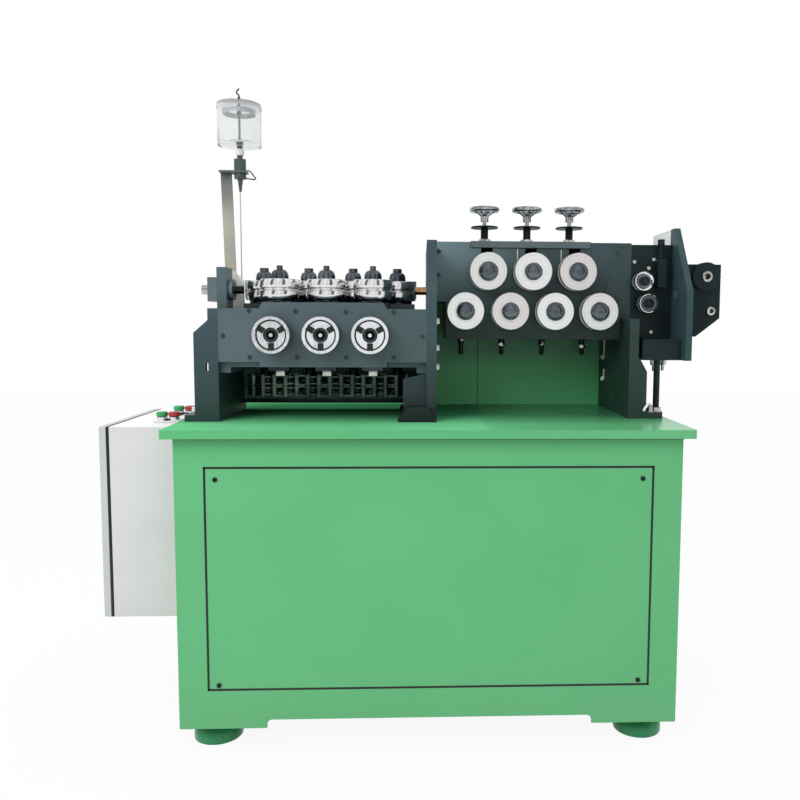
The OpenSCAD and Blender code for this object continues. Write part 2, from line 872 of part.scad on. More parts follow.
module front_slide(i) {
    x = mid_roll1_x + i * roll_pitch;
    color(dark) place() translate([x, front_y, table_h]) {
        span(-slide1_w / 2, slide1_w / 2, -slide1_d / 2, slide1_d / 2, bed_top + clear, slide1_top);
        span(-tongue_w / 2, tongue_w / 2, -tongue_d / 2, tongue_d / 2,
            bed_top - bed_t - clear - keeper_t, slide1_top);
        span(-keeper_w / 2, keeper_w / 2, -keeper_d / 2, keeper_d / 2,
            bed_top - bed_t - clear - keeper_t, bed_top - bed_t - clear);
        span(-foot_nut_w / 2, foot_nut_w / 2, -foot_nut_w / 2, foot_nut_w / 2,
            bed_top - bed_t - clear - keeper_t - foot_nut_h, bed_top - bed_t - clear);
        translate([0, 0, slide1_top]) upright_spindle(dome_neck_d);
    }
}

module front_roll(i) {
    color(steel) place() translate([mid_roll1_x + i * roll_pitch, front_y, table_h + roll_low])
        grooved_roll();
}

module rear_roll(i) {
    color(steel) place() translate([mid_roll1_x + i * roll_pitch, far_y, table_h + roll_low])
        grooved_roll();
}

module front_knob(i) {
    y1 = head1_y - knob_gap;
    y0 = y1 - knob_l;
    color(steel) place() translate([mid_roll1_x + i * roll_pitch, 0, table_h + knob_h]) {
        difference() {
            rod_y(knob_d / 2, 0, 0, y0, y1);
            rod_y(knob_d / 2 - knob_rim, 0, 0, y0 - over, y0 + knob_dish);
            for (a = [90, 210, 330]) rotate([0, a, 0])
                translate([knob_boss_d / 2, y0 - over, -knob_slot_w / 2])
                cube([knob_d / 2 - knob_rim - knob_boss_d / 2, knob_l / 2 + over, knob_slot_w]);
        }
        rod_y(knob_boss_d / 2, 0, 0, y0 + knob_dish / 2, y1);
        rod_y(screw_d / 2, 0, 0, y0 + knob_l, front_y - slide1_d / 2 - clear);
    }
}

// entry side
module entry_guide() {
    x_out = stand1_x0 - guide_block_l;
    x_in = stand1_x1 + guide_flange_t;
    color(blue_grey) place() translate([0, 0, table_h]) difference() {
        union() {
            rod_x(guide_nose_r, pass_y, pass_h, x_out - guide_nose_l, x_out);
            span(x_out, stand1_x0, pass_y - guide_block_w / 2, pass_y + guide_block_w / 2,
                pass_h - guide_block_w / 2, pass_h + guide_block_w / 2);
            rod_x(guide_hole_r - clear, pass_y, pass_h, stand1_x0 - over, stand1_x1 + over);
            rod_x(guide_flange_r, pass_y, pass_h, stand1_x1, x_in);
            rod_x(guide_tube_r, pass_y, pass_h, x_in - over, x_in + guide_tube_l);
        }
        rod_x(guide_bore_r, pass_y, pass_h, x_out - guide_nose_l - over, x_in + guide_tube_l + over);
    }
}

module transfer_tube() {
    color(brass) place() translate([0, 0, table_h]) difference() {
        rod_x(guide_tube_r - fit, pass_y, pass_h, mid_x0 - transfer_left, mid_x1 + transfer_right);
        rod_x(guide_bore_r, pass_y, pass_h, mid_x0 - transfer_left - over, mid_x1 + transfer_right + over);
    }
}

module oiler_bracket() {
    bar_x = oiler_bar_x;
    color([0.66, 0.66, 0.62]) place() translate([0, oiler_y, table_h]) {
        plate_xz([[stand1_x1, oiler_foot_low], [oiler_foot_x1, oiler_foot_low],
            [oiler_foot_x1, oiler_foot_top - oiler_foot_cut], [bar_x + oiler_bar_w / 2, oiler_foot_top],
            [oiler_foot_x0, oiler_foot_top], [oiler_foot_x0, stand1_h], [stand1_x1, stand1_h]],
            -oiler_plate_t, oiler_plate_t);
        plate_xz([[bar_x - oiler_bar_w / 2, stand1_h], [bar_x + oiler_bar_w / 2, stand1_h],
            [bar_x + oiler_bar_w / 2 - oiler_lean, lug_z + oiler_lug_t],
            [bar_x - oiler_bar_w / 2 - oiler_lean, lug_z + oiler_lug_t]], 0, oiler_bar_t);
        difference() {
            span(bar_x - oiler_bar_w / 2 - oiler_lean, oiler_x + oiler_lug_w / 2,
                -oiler_lug_w / 2, oiler_lug_w / 2, lug_z, lug_z + oiler_lug_t);
            rod_z(valve_stem_d / 2 + clear, oiler_x, 0, lug_z - over, lug_z + oiler_lug_t + over);
        }
    }
}

module oil_cup() {
    color([0.8, 0.85, 0.85]) place() translate([oiler_x, oiler_y, table_h]) {
        difference() {
            rod_z(cup_d / 2, 0, 0, cup_low, cup_low + cup_h);
            rod_z(cup_d / 2 - cup_wall, 0, 0, cup_low + cup_base_t, cup_low + cup_h - cup_lid_t);
        }
        rod_z(cup_rod_d / 2, 0, 0, cup_low, cup_low + cup_h + cup_hook_h);
    }
}

// drip valve under the cup, with its nozzle and the thin pipe down to the bracket's foot
module oil_valve() {
    color(dark) place() translate([oiler_x, oiler_y, table_h]) {
        rod_z(valve_d / 2, 0, 0, lug_z + oiler_lug_t, cup_low - valve_neck_h);
        rod_z(valve_neck_d / 2, 0, 0, cup_low - valve_neck_h, cup_low);
        rod_z(valve_stem_d / 2, 0, 0, lug_z - valve_nut_h, lug_z + oiler_lug_t);
        rod_z(valve_d / 2, 0, 0, lug_z - valve_nut_h, lug_z);
        translate([0, 0, lug_z - valve_nut_h - nozzle_h])
            cylinder(d1 = nozzle_tip_d, d2 = nozzle_d, h = nozzle_h);
        rod_z(drip_r, 0, -oiler_plate_t / 2, drip_low, lug_z - valve_nut_h);
    }
}

// right head
// one of the two upright plates: slots for the upper slides and bores for the lower spindles
module head_plate(y) {
    color(blue_grey) place() translate([0, 0, table_h]) difference() {
        span(mid_x1, stand2_x0, y, y + plate2_t, plate2_low, plate2_high);
        span(bar_x0, bar_x1, y - over, y + plate2_t + over, bar_low, plate2_high + over);
        span(mid_x1 - over, mid_x1 + notch_w, y - over, y + plate2_t + over, plate2_low - over,
            plate2_low + notch_h);
        for (i = front_shares) {
            span(mid_roll2_x + i * roll_pitch - slot_w / 2, mid_roll2_x + i * roll_pitch + slot_w / 2,
                y - over, y + plate2_t + over, slot_low, plate2_high);
        }
        for (i = far_shares) {
            rod_y(bore_r, mid_roll2_x + i * roll_pitch, lower_h, y - over, y + plate2_t + over);
        }
    }
}

module roll_plate() {
    head_plate(plate2_y);
}

module back_plate() {
    head_plate(back_y);
}

module slide_bar() {
    color(blue_grey) place() translate([0, 0, table_h]) difference() {
        union() {
            span(bar_x0, bar_x1, plate2_y - bar_proud, back_y + plate2_t + bar_tail,
                bar_low, bar_low + bar_t);
            for (i = front_shares) {
                rod_z(collar2_d / 2, mid_roll2_x + i * roll_pitch, screw_y, bar_low,
                    bar_low + bar_t + collar2_h);
            }
        }
        for (i = front_shares) {
            rod_z(screw_d / 2 + clear, mid_roll2_x + i * roll_pitch, screw_y, bar_low - over,
                bar_low + bar_t + collar2_h + over);
        }
    }
}

module top_slide(i) {
    color(dark) place() translate([mid_roll2_x + i * roll_pitch, 0, table_h + upper_h]) {
        span(-slide2_w / 2, slide2_w / 2, plate2_y + plate2_t + clear, back_y - clear,
            -slide2_h / 2, slide2_h / 2);
        span(-slot_w / 2 + clear, slot_w / 2 - clear, plate2_y, back_y - clear,
            -tongue2_h / 2, tongue2_h / 2);
        translate([0, plate2_y, 0]) rotate([90, 0, 0]) spindle(collar_d, roll_back - clear);
    }
}

module top_roll(i) {
    color(steel) place() translate([mid_roll2_x + i * roll_pitch, plate2_y - roll_back, table_h + upper_h])
        rotate([90, 0, 0]) grooved_roll();
}

module lower_roll(i) {
    color(steel) place() translate([mid_roll2_x + i * roll_pitch, plate2_y - roll_back, table_h + lower_h])
        rotate([90, 0, 0]) grooved_roll();
}

module lower_spindles() {
    color(dark) place() for (i = far_shares) translate([mid_roll2_x + i * roll_pitch, 0, table_h + lower_h]) {
        translate([0, plate2_y, 0]) rotate([90, 0, 0]) spindle(collar_d, roll_back - clear);
        rod_y(spindle_d / 2, 0, 0, plate2_y - over, back_y + plate2_t + spindle2_tail);
        rod_y(tail_nut_d / 2, 0, 0, back_y + plate2_t, back_y + plate2_t + spindle2_tail - over);
    }
}

module lower_screws() {
    color(dark) place() for (i = far_shares) {
        translate([mid_roll2_x + i * roll_pitch, back_y + plate2_t / 2, table_h]) {
            rod_z(hang_nut_d / 2, 0, 0, plate2_low - hang_nut_h, plate2_low);
            rod_z(hang_screw_d / 2, 0, 0, plate2_low - hang_screw_l, plate2_low);
        }
    }
}

module handwheel(i) {
    rim_z = bar_low + bar_t + wheel_rise;
    dial_z = bar_low + bar_t + dial_rise;
    color(steel) place() translate([mid_roll2_x + i * roll_pitch, screw_y, table_h]) {
        translate([0, 0, rim_z]) rotate_extrude() translate([wheel_d / 2 - wheel_rim_r, 0])
            circle(r = wheel_rim_r);
        for (a = [90, 210, 330]) translate([0, 0, rim_z - wheel_drop]) rotate([0, spoke_tilt, a])
            cylinder(r = spoke_r, h = spoke_l);
        rod_z(hub_d / 2, 0, 0, rim_z - hub_h, rim_z - hub_h + hub_t);
        rod_z(wheel_nut_d / 2, 0, 0, rim_z - hub_h, rim_z - hub_h + hub_t + wheel_nut_h);
        rod_z(dial_d / 2, 0, 0, dial_z - dial_t, dial_z);
        rod_z(screw_d / 2, 0, 0, upper_h + slide2_h / 2 + clear, dial_z);
        rod_z(wheel_stem_d / 2, 0, 0, dial_z - dial_t, rim_z - wheel_drop);
    }
}

module drive_cover() {
    color(green) place() translate([0, 0, table_h]) difference() {
        plate_yz([[cover_y, 0], [cover_y + cover_d, 0], [cover_y + cover_d, cover_h - cover_bevel],
            [cover_y + cover_d - cover_bevel, cover_h], [cover_y, cover_h]],
            mid_x0 + cover_side, stand2_x1 - mid_x0 - 2 * cover_side);
        span(mid_x0 + cover_seam_in, mid_x0 + cover_seam_in + cover_seam_w, cover_y - over,
            cover_y + cover_seam_t, -over, cover_h + over);
    }
}

// exit unit
module exit_plate() {
    color(dark) place() translate([0, 0, table_h]) {
        span(exit_x0, exit_x1, exit_y, exit_y + exit_plate_t, exit_low, exit_top);
        for (p = [[exit_upper_x, 1], [exit_lower_x, -1]]) {
            z = pass_h + p[1] * exit_roll_z;
            rod_y(exit_pin_r, p[0], z, pass_y - exit_roll_t / 2 - exit_pin_head, exit_y);
            rod_y(exit_pin_head_r, p[0], z, pass_y - exit_roll_t / 2 - exit_pin_head,
                pass_y - exit_roll_t / 2 - clear);
            rod_y(exit_pin_head_r, p[0], z, pass_y + exit_roll_t / 2 + clear, exit_y);
        }
        span(adjust_x - adjust_w / 2, adjust_x + adjust_w / 2, exit_y - adjust_d, exit_y,
            adjust_low, adjust_top);
        rod_z(adjust_screw_r, adjust_x, exit_y - adjust_d / 2, adjust_low, adjust_screw_top);
        rod_z(adjust_knob_r, adjust_x, exit_y - adjust_d / 2, adjust_screw_top,
            adjust_screw_top + adjust_knob_h);
    }
}

// a grooved roller along Y at its own place
module exit_roller(x, z) {
    color(steel) place() translate([x, pass_y + exit_roll_t / 2, table_h + z]) rotate([90, 0, 0])
        difference() {
            cylinder(d = exit_roll_d, h = exit_roll_t);
            rotate_extrude() translate([exit_roll_d / 2, exit_roll_t / 2]) circle(r = groove_r);
            translate([0, 0, -over]) cylinder(r = exit_pin_r + fit, h = exit_roll_t + 2 * over);
        }
}

module exit_roller_upper() {
    exit_roller(exit_upper_x, pass_h + exit_roll_z);
}

module exit_roller_lower() {
    exit_roller(exit_lower_x, pass_h - exit_roll_z);
}

module exit_block() {
    color(dark) place() translate([0, 0, table_h]) {
        span(exit_x0 + exit_block_in, exit_x1, exit_block_y, exit_y, exit_low, exit_low + exit_block_h);
        rod_z(post_r, post_x, post_y, foot_plate_t, exit_low);
    }
}

module exit_bracket() {
    side_y1 = exit_y + exit_plate_t;
    x0 = exit_x1 + exit_t;
    x1 = x0 + bracket_w;
    color(dark) place() translate([0, 0, table_h]) {
        difference() {
            plate_yz([[side_y, exit_low], [side_y1, exit_low], [side_y1, side_top],
                [side_y1 - side_back, side_top], [side_y, side_knee]], exit_x1, exit_t);
            rod_x(exit_hole_r, pass_y, pass_h, exit_x1 - over, exit_x1 + exit_t + over);
        }
        difference() {
            union() {
                plate_xz([[x0, bracket_low], [x1 - bracket_cut_x, bracket_low],
                    [x1, bracket_low + bracket_cut_z], [x1, bracket_top], [x0, bracket_top]],
                    bracket_y, bracket_t);
                rod_y(boss_r, x1 - boss_in, boss_h, bracket_y - boss_t, bracket_y + bracket_t);
                rod_y(bush_r + bush_wall, x1 - boss_in, boss_h, bracket_y - boss_t - bush_proud,
                    bracket_y + bracket_t);
                rod_y(bush2_r + bush_wall, x1 - bush2_in, bush2_h, bracket_y - bush_proud,
                    bracket_y + bracket_t);
            }
            rod_y(bush_r, x1 - boss_in, boss_h, bracket_y - boss_t - bush_proud - over,
                bracket_y + bracket_t + over);
            rod_y(bush2_r, x1 - bush2_in, bush2_h, bracket_y - bush_proud - over,
                bracket_y + bracket_t + over);
        }
    }
}

table_top();
base_front();
base_sides();
base_rear();
base_floor();
front_panel();
levelling_feet();
electrical_box();
electrical_door();
push_buttons();
left_stand();
middle_stand();
right_stand();
left_front_plate();
left_bed();
rear_bearing_bar();
drive_sprockets();
drive_chain();
for (k = [0 : len(front_shares) - 1]) {
    front_slide(front_shares[k]);
    front_roll(front_shares[k]);
    front_knob(front_shares[k]);
    top_slide(front_shares[k]);
    top_roll(front_shares[k]);
    handwheel(front_shares[k]);
}
for (k = [0 : len(far_shares) - 1]) {
    rear_roll(far_shares[k]);
    lower_roll(far_shares[k]);
}
entry_guide();
transfer_tube();
oiler_bracket();
oil_cup();
oil_valve();
roll_plate();
back_plate();
slide_bar();
lower_spindles();
lower_screws();
drive_cover();
exit_plate();
exit_block();
exit_bracket();
exit_roller_upper();
exit_roller_lower();
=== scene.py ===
# Looks of the pipe straightening machine: finishes, screws, nuts, buttons, oiler details, light and camera.
import math

import bmesh
import bpy
from mathutils import Matrix, Vector


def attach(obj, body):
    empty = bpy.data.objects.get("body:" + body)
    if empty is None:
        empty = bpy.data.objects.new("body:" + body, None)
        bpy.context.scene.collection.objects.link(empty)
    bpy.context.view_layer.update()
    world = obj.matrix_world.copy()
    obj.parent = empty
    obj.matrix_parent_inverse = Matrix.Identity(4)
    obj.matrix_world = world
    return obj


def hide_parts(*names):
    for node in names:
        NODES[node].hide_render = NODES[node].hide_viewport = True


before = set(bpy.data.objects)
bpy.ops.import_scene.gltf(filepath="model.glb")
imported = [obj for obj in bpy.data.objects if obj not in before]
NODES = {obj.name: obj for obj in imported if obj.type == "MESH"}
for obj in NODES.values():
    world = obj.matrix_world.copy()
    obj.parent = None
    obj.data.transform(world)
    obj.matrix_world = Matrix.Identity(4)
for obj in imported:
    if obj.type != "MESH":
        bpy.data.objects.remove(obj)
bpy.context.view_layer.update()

# places are given in millimetres from the table's centre, its front edge and its upper face
SHIFT_X = 26.5
SHIFT_Y = -350.0
TABLE_H = 755.0

# the two heads, the steps of their rolls, the pipe's line and the distance between two rows
HEAD1_X = -256.0
HEAD2_X = 260.0
PITCH = 114.0
FRONT = (-1, 0, 1)
FAR = (-1.5, -0.5, 0.5, 1.5)
PASS_Y = 275.0
PASS_H = 318.0
ROW = 100.0

# faces, heights and centres that screws, nuts, rings and seals sit on
BASE_FRONT = 25.0
PANEL_X = (-508.8, 508.8)
PANEL_Z = (-603.7, -88.2)
PLATE1_FRONT = 150.0
PLATE2_FRONT = 305.0
ROLL_FACE = 250.5
NUT_BASE = 342.8
KNOB_FACE = 100.0
KNOB_BOSS_FACE = 97.2
KNOB_Z = 208.0
HANG_Y = 472.0
WHEEL_Y = 389.9
BAR_TOP = 453.2
DIAL_TOP = 494.0
WHEEL_SPLIT = 496.0
RIM_Z = 539.0
OILER_X = -486.0
OILER_Y = 333.0
CUP_BASE = 684.0
BUTTON_X = (-690, -659)
BUTTON_Y = (306, 447)
BUTTON_BASE = -15.7

# exit unit: the rollers' centres, their front face, the heads of their pins and the block's underside
EXIT_Z = 28.0
EXIT_UPPER_X = 543.0
EXIT_LOWER_X = 556.0
EXIT_FACE = 255.0
EXIT_PIN_FACE = 246.0
EXIT_LOW = 147.0

# the drive cover's front face, in the part's own frame
COVER_FRONT = 195.0

# directions in which small pieces point
UP = (0, 0, 1)
DOWN = (0, 0, -1)
OUT = (0, -1, 0)
SIDE = (1, 0, 0)


def at(x, y, z):
    """A place in metres of the part's frame."""
    return Vector(((x + SHIFT_X) / 1000, (y + SHIFT_Y) / 1000, (z + TABLE_H) / 1000))


def aim(x, y, z, axis, spin=0.0):
    """A matrix whose local +Z points along axis at a place given in millimetres."""
    turn = Vector((0, 0, 1)).rotation_difference(Vector(axis)).to_matrix().to_4x4()
    return Matrix.Translation(at(x, y, z)) @ turn @ Matrix.Rotation(spin, 4, "Z")


def rgb(r, g, b):
    """A colour read as 0 to 255 in sRGB, as linear light."""
    def one(c):
        c = c / 255
        return c / 12.92 if c <= 0.04045 else ((c + 0.055) / 1.055) ** 2.4
    return (one(r), one(g), one(b), 1.0)


# node helpers
class Finish:
    """A node material that is built up step by step."""

    def __init__(self, name):
        self.mat = bpy.data.materials.new(name)
        self.mat.use_nodes = True
        self.tree = self.mat.node_tree
        self.shader = self.tree.nodes["Principled BSDF"]
        self.coord = self.tree.nodes.new("ShaderNodeTexCoord").outputs["Object"]

    def add(self, kind, **values):
        n = self.tree.nodes.new(kind)
        for key, value in values.items():
            setattr(n, key, value)
        return n

    def feed(self, socket, value):
        if isinstance(value, bpy.types.NodeSocket):
            self.tree.links.new(value, socket)
        else:
            socket.default_value = value

    def set(self, **values):
        for key, value in values.items():
            self.feed(self.shader.inputs[key.replace("_", " ")], value)

    def noise(self, scale, detail, stretch=None, vector=None):
        vector = vector or self.coord
        if stretch:
            m = self.add("ShaderNodeMapping")
            self.feed(m.inputs["Vector"], vector)
            m.inputs["Scale"].default_value = stretch
            vector = m.outputs[0]
        n = self.add("ShaderNodeTexNoise")
        self.feed(n.inputs["Vector"], vector)
        n.inputs["Scale"].default_value = scale
        n.inputs["Detail"].default_value = detail
        return n.outputs[0]

    def span(self, value, low, high, to_low=0.0, to_high=1.0):
        n = self.add("ShaderNodeMapRange")
        self.feed(n.inputs[0], value)
        for i, v in enumerate((low, high, to_low, to_high), 1):
            self.feed(n.inputs[i], v)
        return n.outputs[0]

    def math(self, kind, a, b):
        n = self.add("ShaderNodeMath", operation=kind)
        self.feed(n.inputs[0], a)
        self.feed(n.inputs[1], b)
        return n.outputs[0]

    def mix(self, fac, a, b):
        n = self.add("ShaderNodeMix", data_type="RGBA")
        self.feed(n.inputs[0], fac)
        self.feed(n.inputs[6], a)
        self.feed(n.inputs[7], b)
        return n.outputs[2]

    def axis(self, name):
        n = self.add("ShaderNodeSeparateXYZ")
        self.feed(n.inputs[0], self.coord)
        return n.outputs[name]

    def facing(self, name):
        """The part of the surface's own direction along an axis."""
        n = self.add("ShaderNodeSeparateXYZ")
        self.feed(n.inputs[0], self.add("ShaderNodeNewGeometry").outputs["Normal"])
        return n.outputs[name]

    def bump(self, height, strength, distance):
        n = self.add("ShaderNodeBump")
        n.inputs["Strength"].default_value = strength
        n.inputs["Distance"].default_value = distance
        self.feed(n.inputs["Height"], height)
        self.feed(self.shader.inputs["Normal"], n.outputs[0])


def enamel(name, light, deep, rough=(0.36, 0.5), patch=5.0, peel=420.0, peel_depth=0.12,
           dust=None, smear=0.1, gloss=0.4, drifts=(), top=None):
    """Sprayed paint: patches of tone, an orange-peel skin and dust low down.

    A drift is an axis, a start and an end in millimetres of the part's frame, and the tone at the end; most
    drifts below paint light or shade into the tone.
    dust is the level in metres where it is thickest, the level where it ends, and its tone.
    top is a paler tone on faces that look up, painted light; gloss is one value or runs along an axis, and
    where it runs it paints a sheen.
    """
    f = Finish(name)
    tone = f.mix(f.span(f.noise(patch, 4.0), 0.32, 0.68), rgb(*deep), rgb(*light))
    worn = f.span(f.noise(16.0, 5.0, (1.0, 1.0, 0.25)), 0.58, 0.82)
    tone = f.mix(f.math("MULTIPLY", worn, smear), tone, rgb(*[c * 0.82 for c in deep]))
    for axis, start, end, colour in drifts:
        tone = f.mix(f.span(f.axis(axis), start / 1000, end / 1000), tone, rgb(*colour))
    if top:
        tone = f.mix(f.span(f.facing("Z"), 0.8, 0.95), tone, rgb(*top))
    if dust:
        low = f.span(f.axis("Z"), dust[0], dust[1], 0.5, 0.0)
        tone = f.mix(f.math("MULTIPLY", low, f.noise(40.0, 6.0)), tone, rgb(*dust[2]))
    if isinstance(gloss, tuple):
        axis, start, end, low, high = gloss
        gloss = f.span(f.axis(axis), start / 1000, end / 1000, low, high)
    f.set(Base_Color=tone, Roughness=f.span(f.noise(22.0, 4.0), 0.3, 0.7, *rough))
    f.set(Specular_IOR_Level=gloss)
    f.bump(f.noise(peel, 2.0), peel_depth, 0.0004)
    return f.mat


def metal(name, light, deep, rough, grain=(1.0, 1.0, 1.0), scale=60.0, metallic=1.0, depth=0.05):
    """Bare or blackened metal with worn patches and a fine grain."""
    f = Finish(name)
    tone = f.mix(f.span(f.noise(scale * 0.3, 5.0), 0.3, 0.7), rgb(*deep), rgb(*light))
    f.set(Base_Color=tone, Metallic=metallic)
    f.set(Roughness=f.span(f.noise(scale, 4.0, grain), 0.3, 0.7, *rough))
    f.bump(f.noise(scale * 8, 2.0, grain), depth, 0.0003)
    return f.mat


def wavy_chrome(name, light, deep, wave, depth):
    """Polished plating over a slightly uneven casting, so that its reflections run."""
    f = Finish(name)
    tone = f.mix(f.span(f.noise(30.0, 4.0), 0.3, 0.7), rgb(*deep), rgb(*light))
    f.set(Base_Color=tone, Metallic=1.0, Roughness=f.span(f.noise(50.0, 3.0), 0.3, 0.7, 0.05, 0.14))
    f.bump(f.noise(wave, 2.0), depth, 0.004)
    return f.mat


def turned(name, centre, flat, light, deep, rough=(0.16, 0.34)):
    """Ground steel with fine rings round a centre; flat is the axis along which the rings are stacked."""
    f = Finish(name)
    away = f.add("ShaderNodeVectorMath", operation="SUBTRACT")
    f.feed(away.inputs[0], f.coord)
    away.inputs[1].default_value = centre
    keep = f.add("ShaderNodeVectorMath", operation="MULTIPLY")
    f.feed(keep.inputs[0], away.outputs[0])
    keep.inputs[1].default_value = [0.0 if i == flat else 1.0 for i in range(3)]
    size = f.add("ShaderNodeVectorMath", operation="LENGTH")
    f.feed(size.inputs[0], keep.outputs[0])
    reach = size.outputs["Value"]
    line = f.add("ShaderNodeCombineXYZ")
    f.feed(line.inputs[0], reach)
    rings = f.noise(900.0, 3.0, None, line.outputs[0])
    broad = f.noise(160.0, 2.0, None, line.outputs[0])
    stain = f.noise(28.0, 5.0)
    tone = f.mix(f.span(broad, 0.35, 0.65), rgb(*deep), rgb(*light))
    tone = f.mix(f.math("MULTIPLY", f.span(stain, 0.55, 0.75), 0.2), tone, rgb(*[c * 0.84 for c in deep]))
    f.set(Base_Color=tone, Metallic=1.0, Roughness=f.span(rings, 0.25, 0.75, *rough))
    f.bump(rings, 0.04, 0.0003)
    return f.mat


def plastic(name, colour, rough):
    """Smooth moulded plastic."""
    f = Finish(name)
    deep = [c * 0.88 for c in colour]
    f.set(Base_Color=f.mix(f.span(f.noise(30.0, 3.0), 0.35, 0.65), rgb(*deep), rgb(*colour)),
          Roughness=f.span(f.noise(90.0, 3.0), 0.3, 0.7, rough - 0.06, rough + 0.06))
    f.bump(f.noise(700.0, 2.0), 0.03, 0.0003)
    return f.mat


GREEN = enamel("green_enamel", (92, 174, 117), (88, 170, 113), patch=4.0, peel_depth=0.1,
               dust=(0.05, 0.2, (104, 150, 110)), smear=0.05, gloss=0.35)
# table top: a lighter copy of the green paint, lighter still at the left than the right, painted light
# where the heads' shade falls; darker under the heads, painted shade, with a lighter band at the far back,
# painted light; the front face keeps the plain green; the gloss that rises along X from none paints a sheen
# at the right
GREEN_TOP = enamel("green_table_enamel", (105, 191, 135), (100, 185, 129), rough=(0.24, 0.27), patch=4.0,
                   peel=40.0, peel_depth=0.0, smear=0.0, gloss=("X", 150, 600, 0.0, 0.5),
                   drifts=(("X", 100, 560, (96, 179, 123)), ("Y", -250, -60, (58, 126, 84)),
                           ("Y", 198, 214, (74, 146, 98)), ("Y", -347.6, -349, (92, 172, 117))))
# feet: a darker copy of the green paint, painted shade
GREEN_FOOT = enamel("green_foot_enamel", (64, 150, 100), (50, 128, 82), rough=(0.2, 0.3), patch=14.0,
                    peel_depth=0.05, gloss=0.25)
# drive cover: a lighter copy of the green paint, painted light in the shade under the right head; darker
# towards its top on its front face only, painted shade under the roll plate
GREEN_COVER = enamel("green_cover_enamel", (98, 190, 128), (88, 180, 118), patch=4.0, peel_depth=0.1,
                     smear=0.05, gloss=0.35,
                     drifts=(("Z", 865, 915, (92, 150, 122)),
                             ("Y", COVER_FRONT + 2, COVER_FRONT + 5, (93, 178, 118))))
# electrical box: paler on faces that look up, painted light
GREY_BOX = enamel("grey_box_enamel", (207, 206, 207), (200, 199, 200), rough=(0.45, 0.58), patch=6.0,
                  peel=900.0, peel_depth=0.16, top=(236, 236, 236))
GREY_DOOR = enamel("grey_door_enamel", (188, 191, 193), (181, 184, 186), rough=(0.45, 0.58), patch=6.0,
                   peel=900.0, peel_depth=0.16)
# left head: darker towards its right end; the rear plate's front face gets a lighter teal, painted light
# where it stands in shade, and its back face keeps the plain tone
HEAD = enamel("head_enamel", (82, 98, 105), (68, 84, 90), patch=9.0, peel=520.0,
              drifts=(("X", -330, 20, (60, 80, 82)), ("Y", 40, 60, (96, 146, 132)),
                      ("Y", 74, 78, (60, 78, 82))))
# left stand: darker towards the bottom, painted shade, and lighter at the top lug, painted light
STAND = enamel("stand_enamel", (58, 78, 86), (48, 67, 73), patch=9.0, peel=520.0, gloss=0.35,
               drifts=(("Z", 980, 760, (36, 55, 55)), ("Z", 1000, 1070, (76, 95, 100))))
# middle stand: darker towards the bottom, painted shade, and near black at its toe
STAND_MID = enamel("middle_stand_enamel", (58, 78, 84), (48, 67, 72), patch=9.0, peel=520.0, gloss=0.35,
                   drifts=(("Z", 980, 800, (27, 45, 45)), ("Z", 794, 788, (17, 26, 27))))
# right head's stand and back plate: a darker copy of the head paint and darker still towards the bottom,
# both painted shade
HEAD_DARK = enamel("head_enamel_dark", (58, 76, 79), (47, 63, 65), patch=9.0, peel=520.0, gloss=0.35,
                   drifts=(("Z", 1150, 960, (34, 52, 50)),))
# roll plate: a darker copy of the head paint, painted shade; lighter towards its left end, painted light
# where the middle stand's shade falls; darker towards the bottom, painted shade
ROLL_PLATE = enamel("roll_plate_enamel", (54, 72, 75), (46, 62, 64), patch=9.0, peel=520.0, gloss=0.32,
                    drifts=(("X", 300, 40, (102, 126, 130)), ("Z", 1150, 960, (32, 50, 48))))
BAR = enamel("bar_enamel", (86, 98, 104), (76, 88, 94), patch=9.0, peel=520.0)
EXIT = enamel("exit_enamel", (24, 40, 41), (16, 29, 30), rough=(0.3, 0.44), patch=12.0,
              peel=520.0, gloss=0.18)
# exit unit's side plate: lighter than the exit plate's paint, painted light where it stands in shade; its
# outer face and boss keep the exit plate's dark tone
EXIT_SIDE = enamel("exit_side_enamel", (56, 78, 82), (48, 68, 72), rough=(0.34, 0.48), patch=12.0,
                   peel=520.0, gloss=0.14, drifts=(("X", 672.4, 673.2, (26, 41, 42)),))
# rear of the side plate: its inner face is pale, painted light where it catches the light, and the rest
# keeps a dark tone
EXIT_BACK = enamel("exit_rear_enamel", (222, 226, 226), (212, 216, 217), rough=(0.4, 0.5), patch=12.0,
                   peel=520.0, smear=0.05, gloss=0.2, drifts=(("X", 657.0, 658.0, (40, 57, 60)),))
SCREW = enamel("screw_enamel", (50, 60, 64), (34, 42, 45), rough=(0.3, 0.45), patch=60.0)
BLACK = metal("black_steel", (46, 52, 55), (28, 32, 34), (0.22, 0.42), scale=50.0, metallic=0.75)
NUT = metal("dark_nut_steel", (112, 120, 126), (58, 65, 71), (0.1, 0.2), scale=40.0, metallic=0.9)
GLOSS_BLACK = metal("gloss_black_steel", (66, 73, 77), (38, 43, 46), (0.1, 0.2), scale=40.0, metallic=0.9)
ZINC = metal("zinc_steel", (214, 214, 208), (176, 176, 170), (0.2, 0.36), scale=70.0)
CHROME = metal("chrome_plate", (236, 238, 240), (214, 217, 220), (0.04, 0.12), scale=20.0, depth=0.01)
CHAIN = metal("chain_steel", (104, 120, 112), (50, 64, 58), (0.26, 0.44), metallic=0.9)
BRASS = metal("turned_brass", (205, 164, 118), (172, 132, 92), (0.2, 0.34), grain=(6, 1, 1), scale=90.0)
RED = plastic("red_plastic", (176, 48, 54), 0.3)
BUTTON_GREEN = plastic("green_plastic", (52, 158, 92), 0.3)
WHITE = plastic("white_plastic", (236, 238, 235), 0.4)
GASKET = plastic("grey_gasket", (168, 173, 175), 0.4)
# also used for painted shade in the knobs and painted shadow under the table top
DARK = plastic("dark_plastic_and_shade", (16, 17, 18), 0.5)


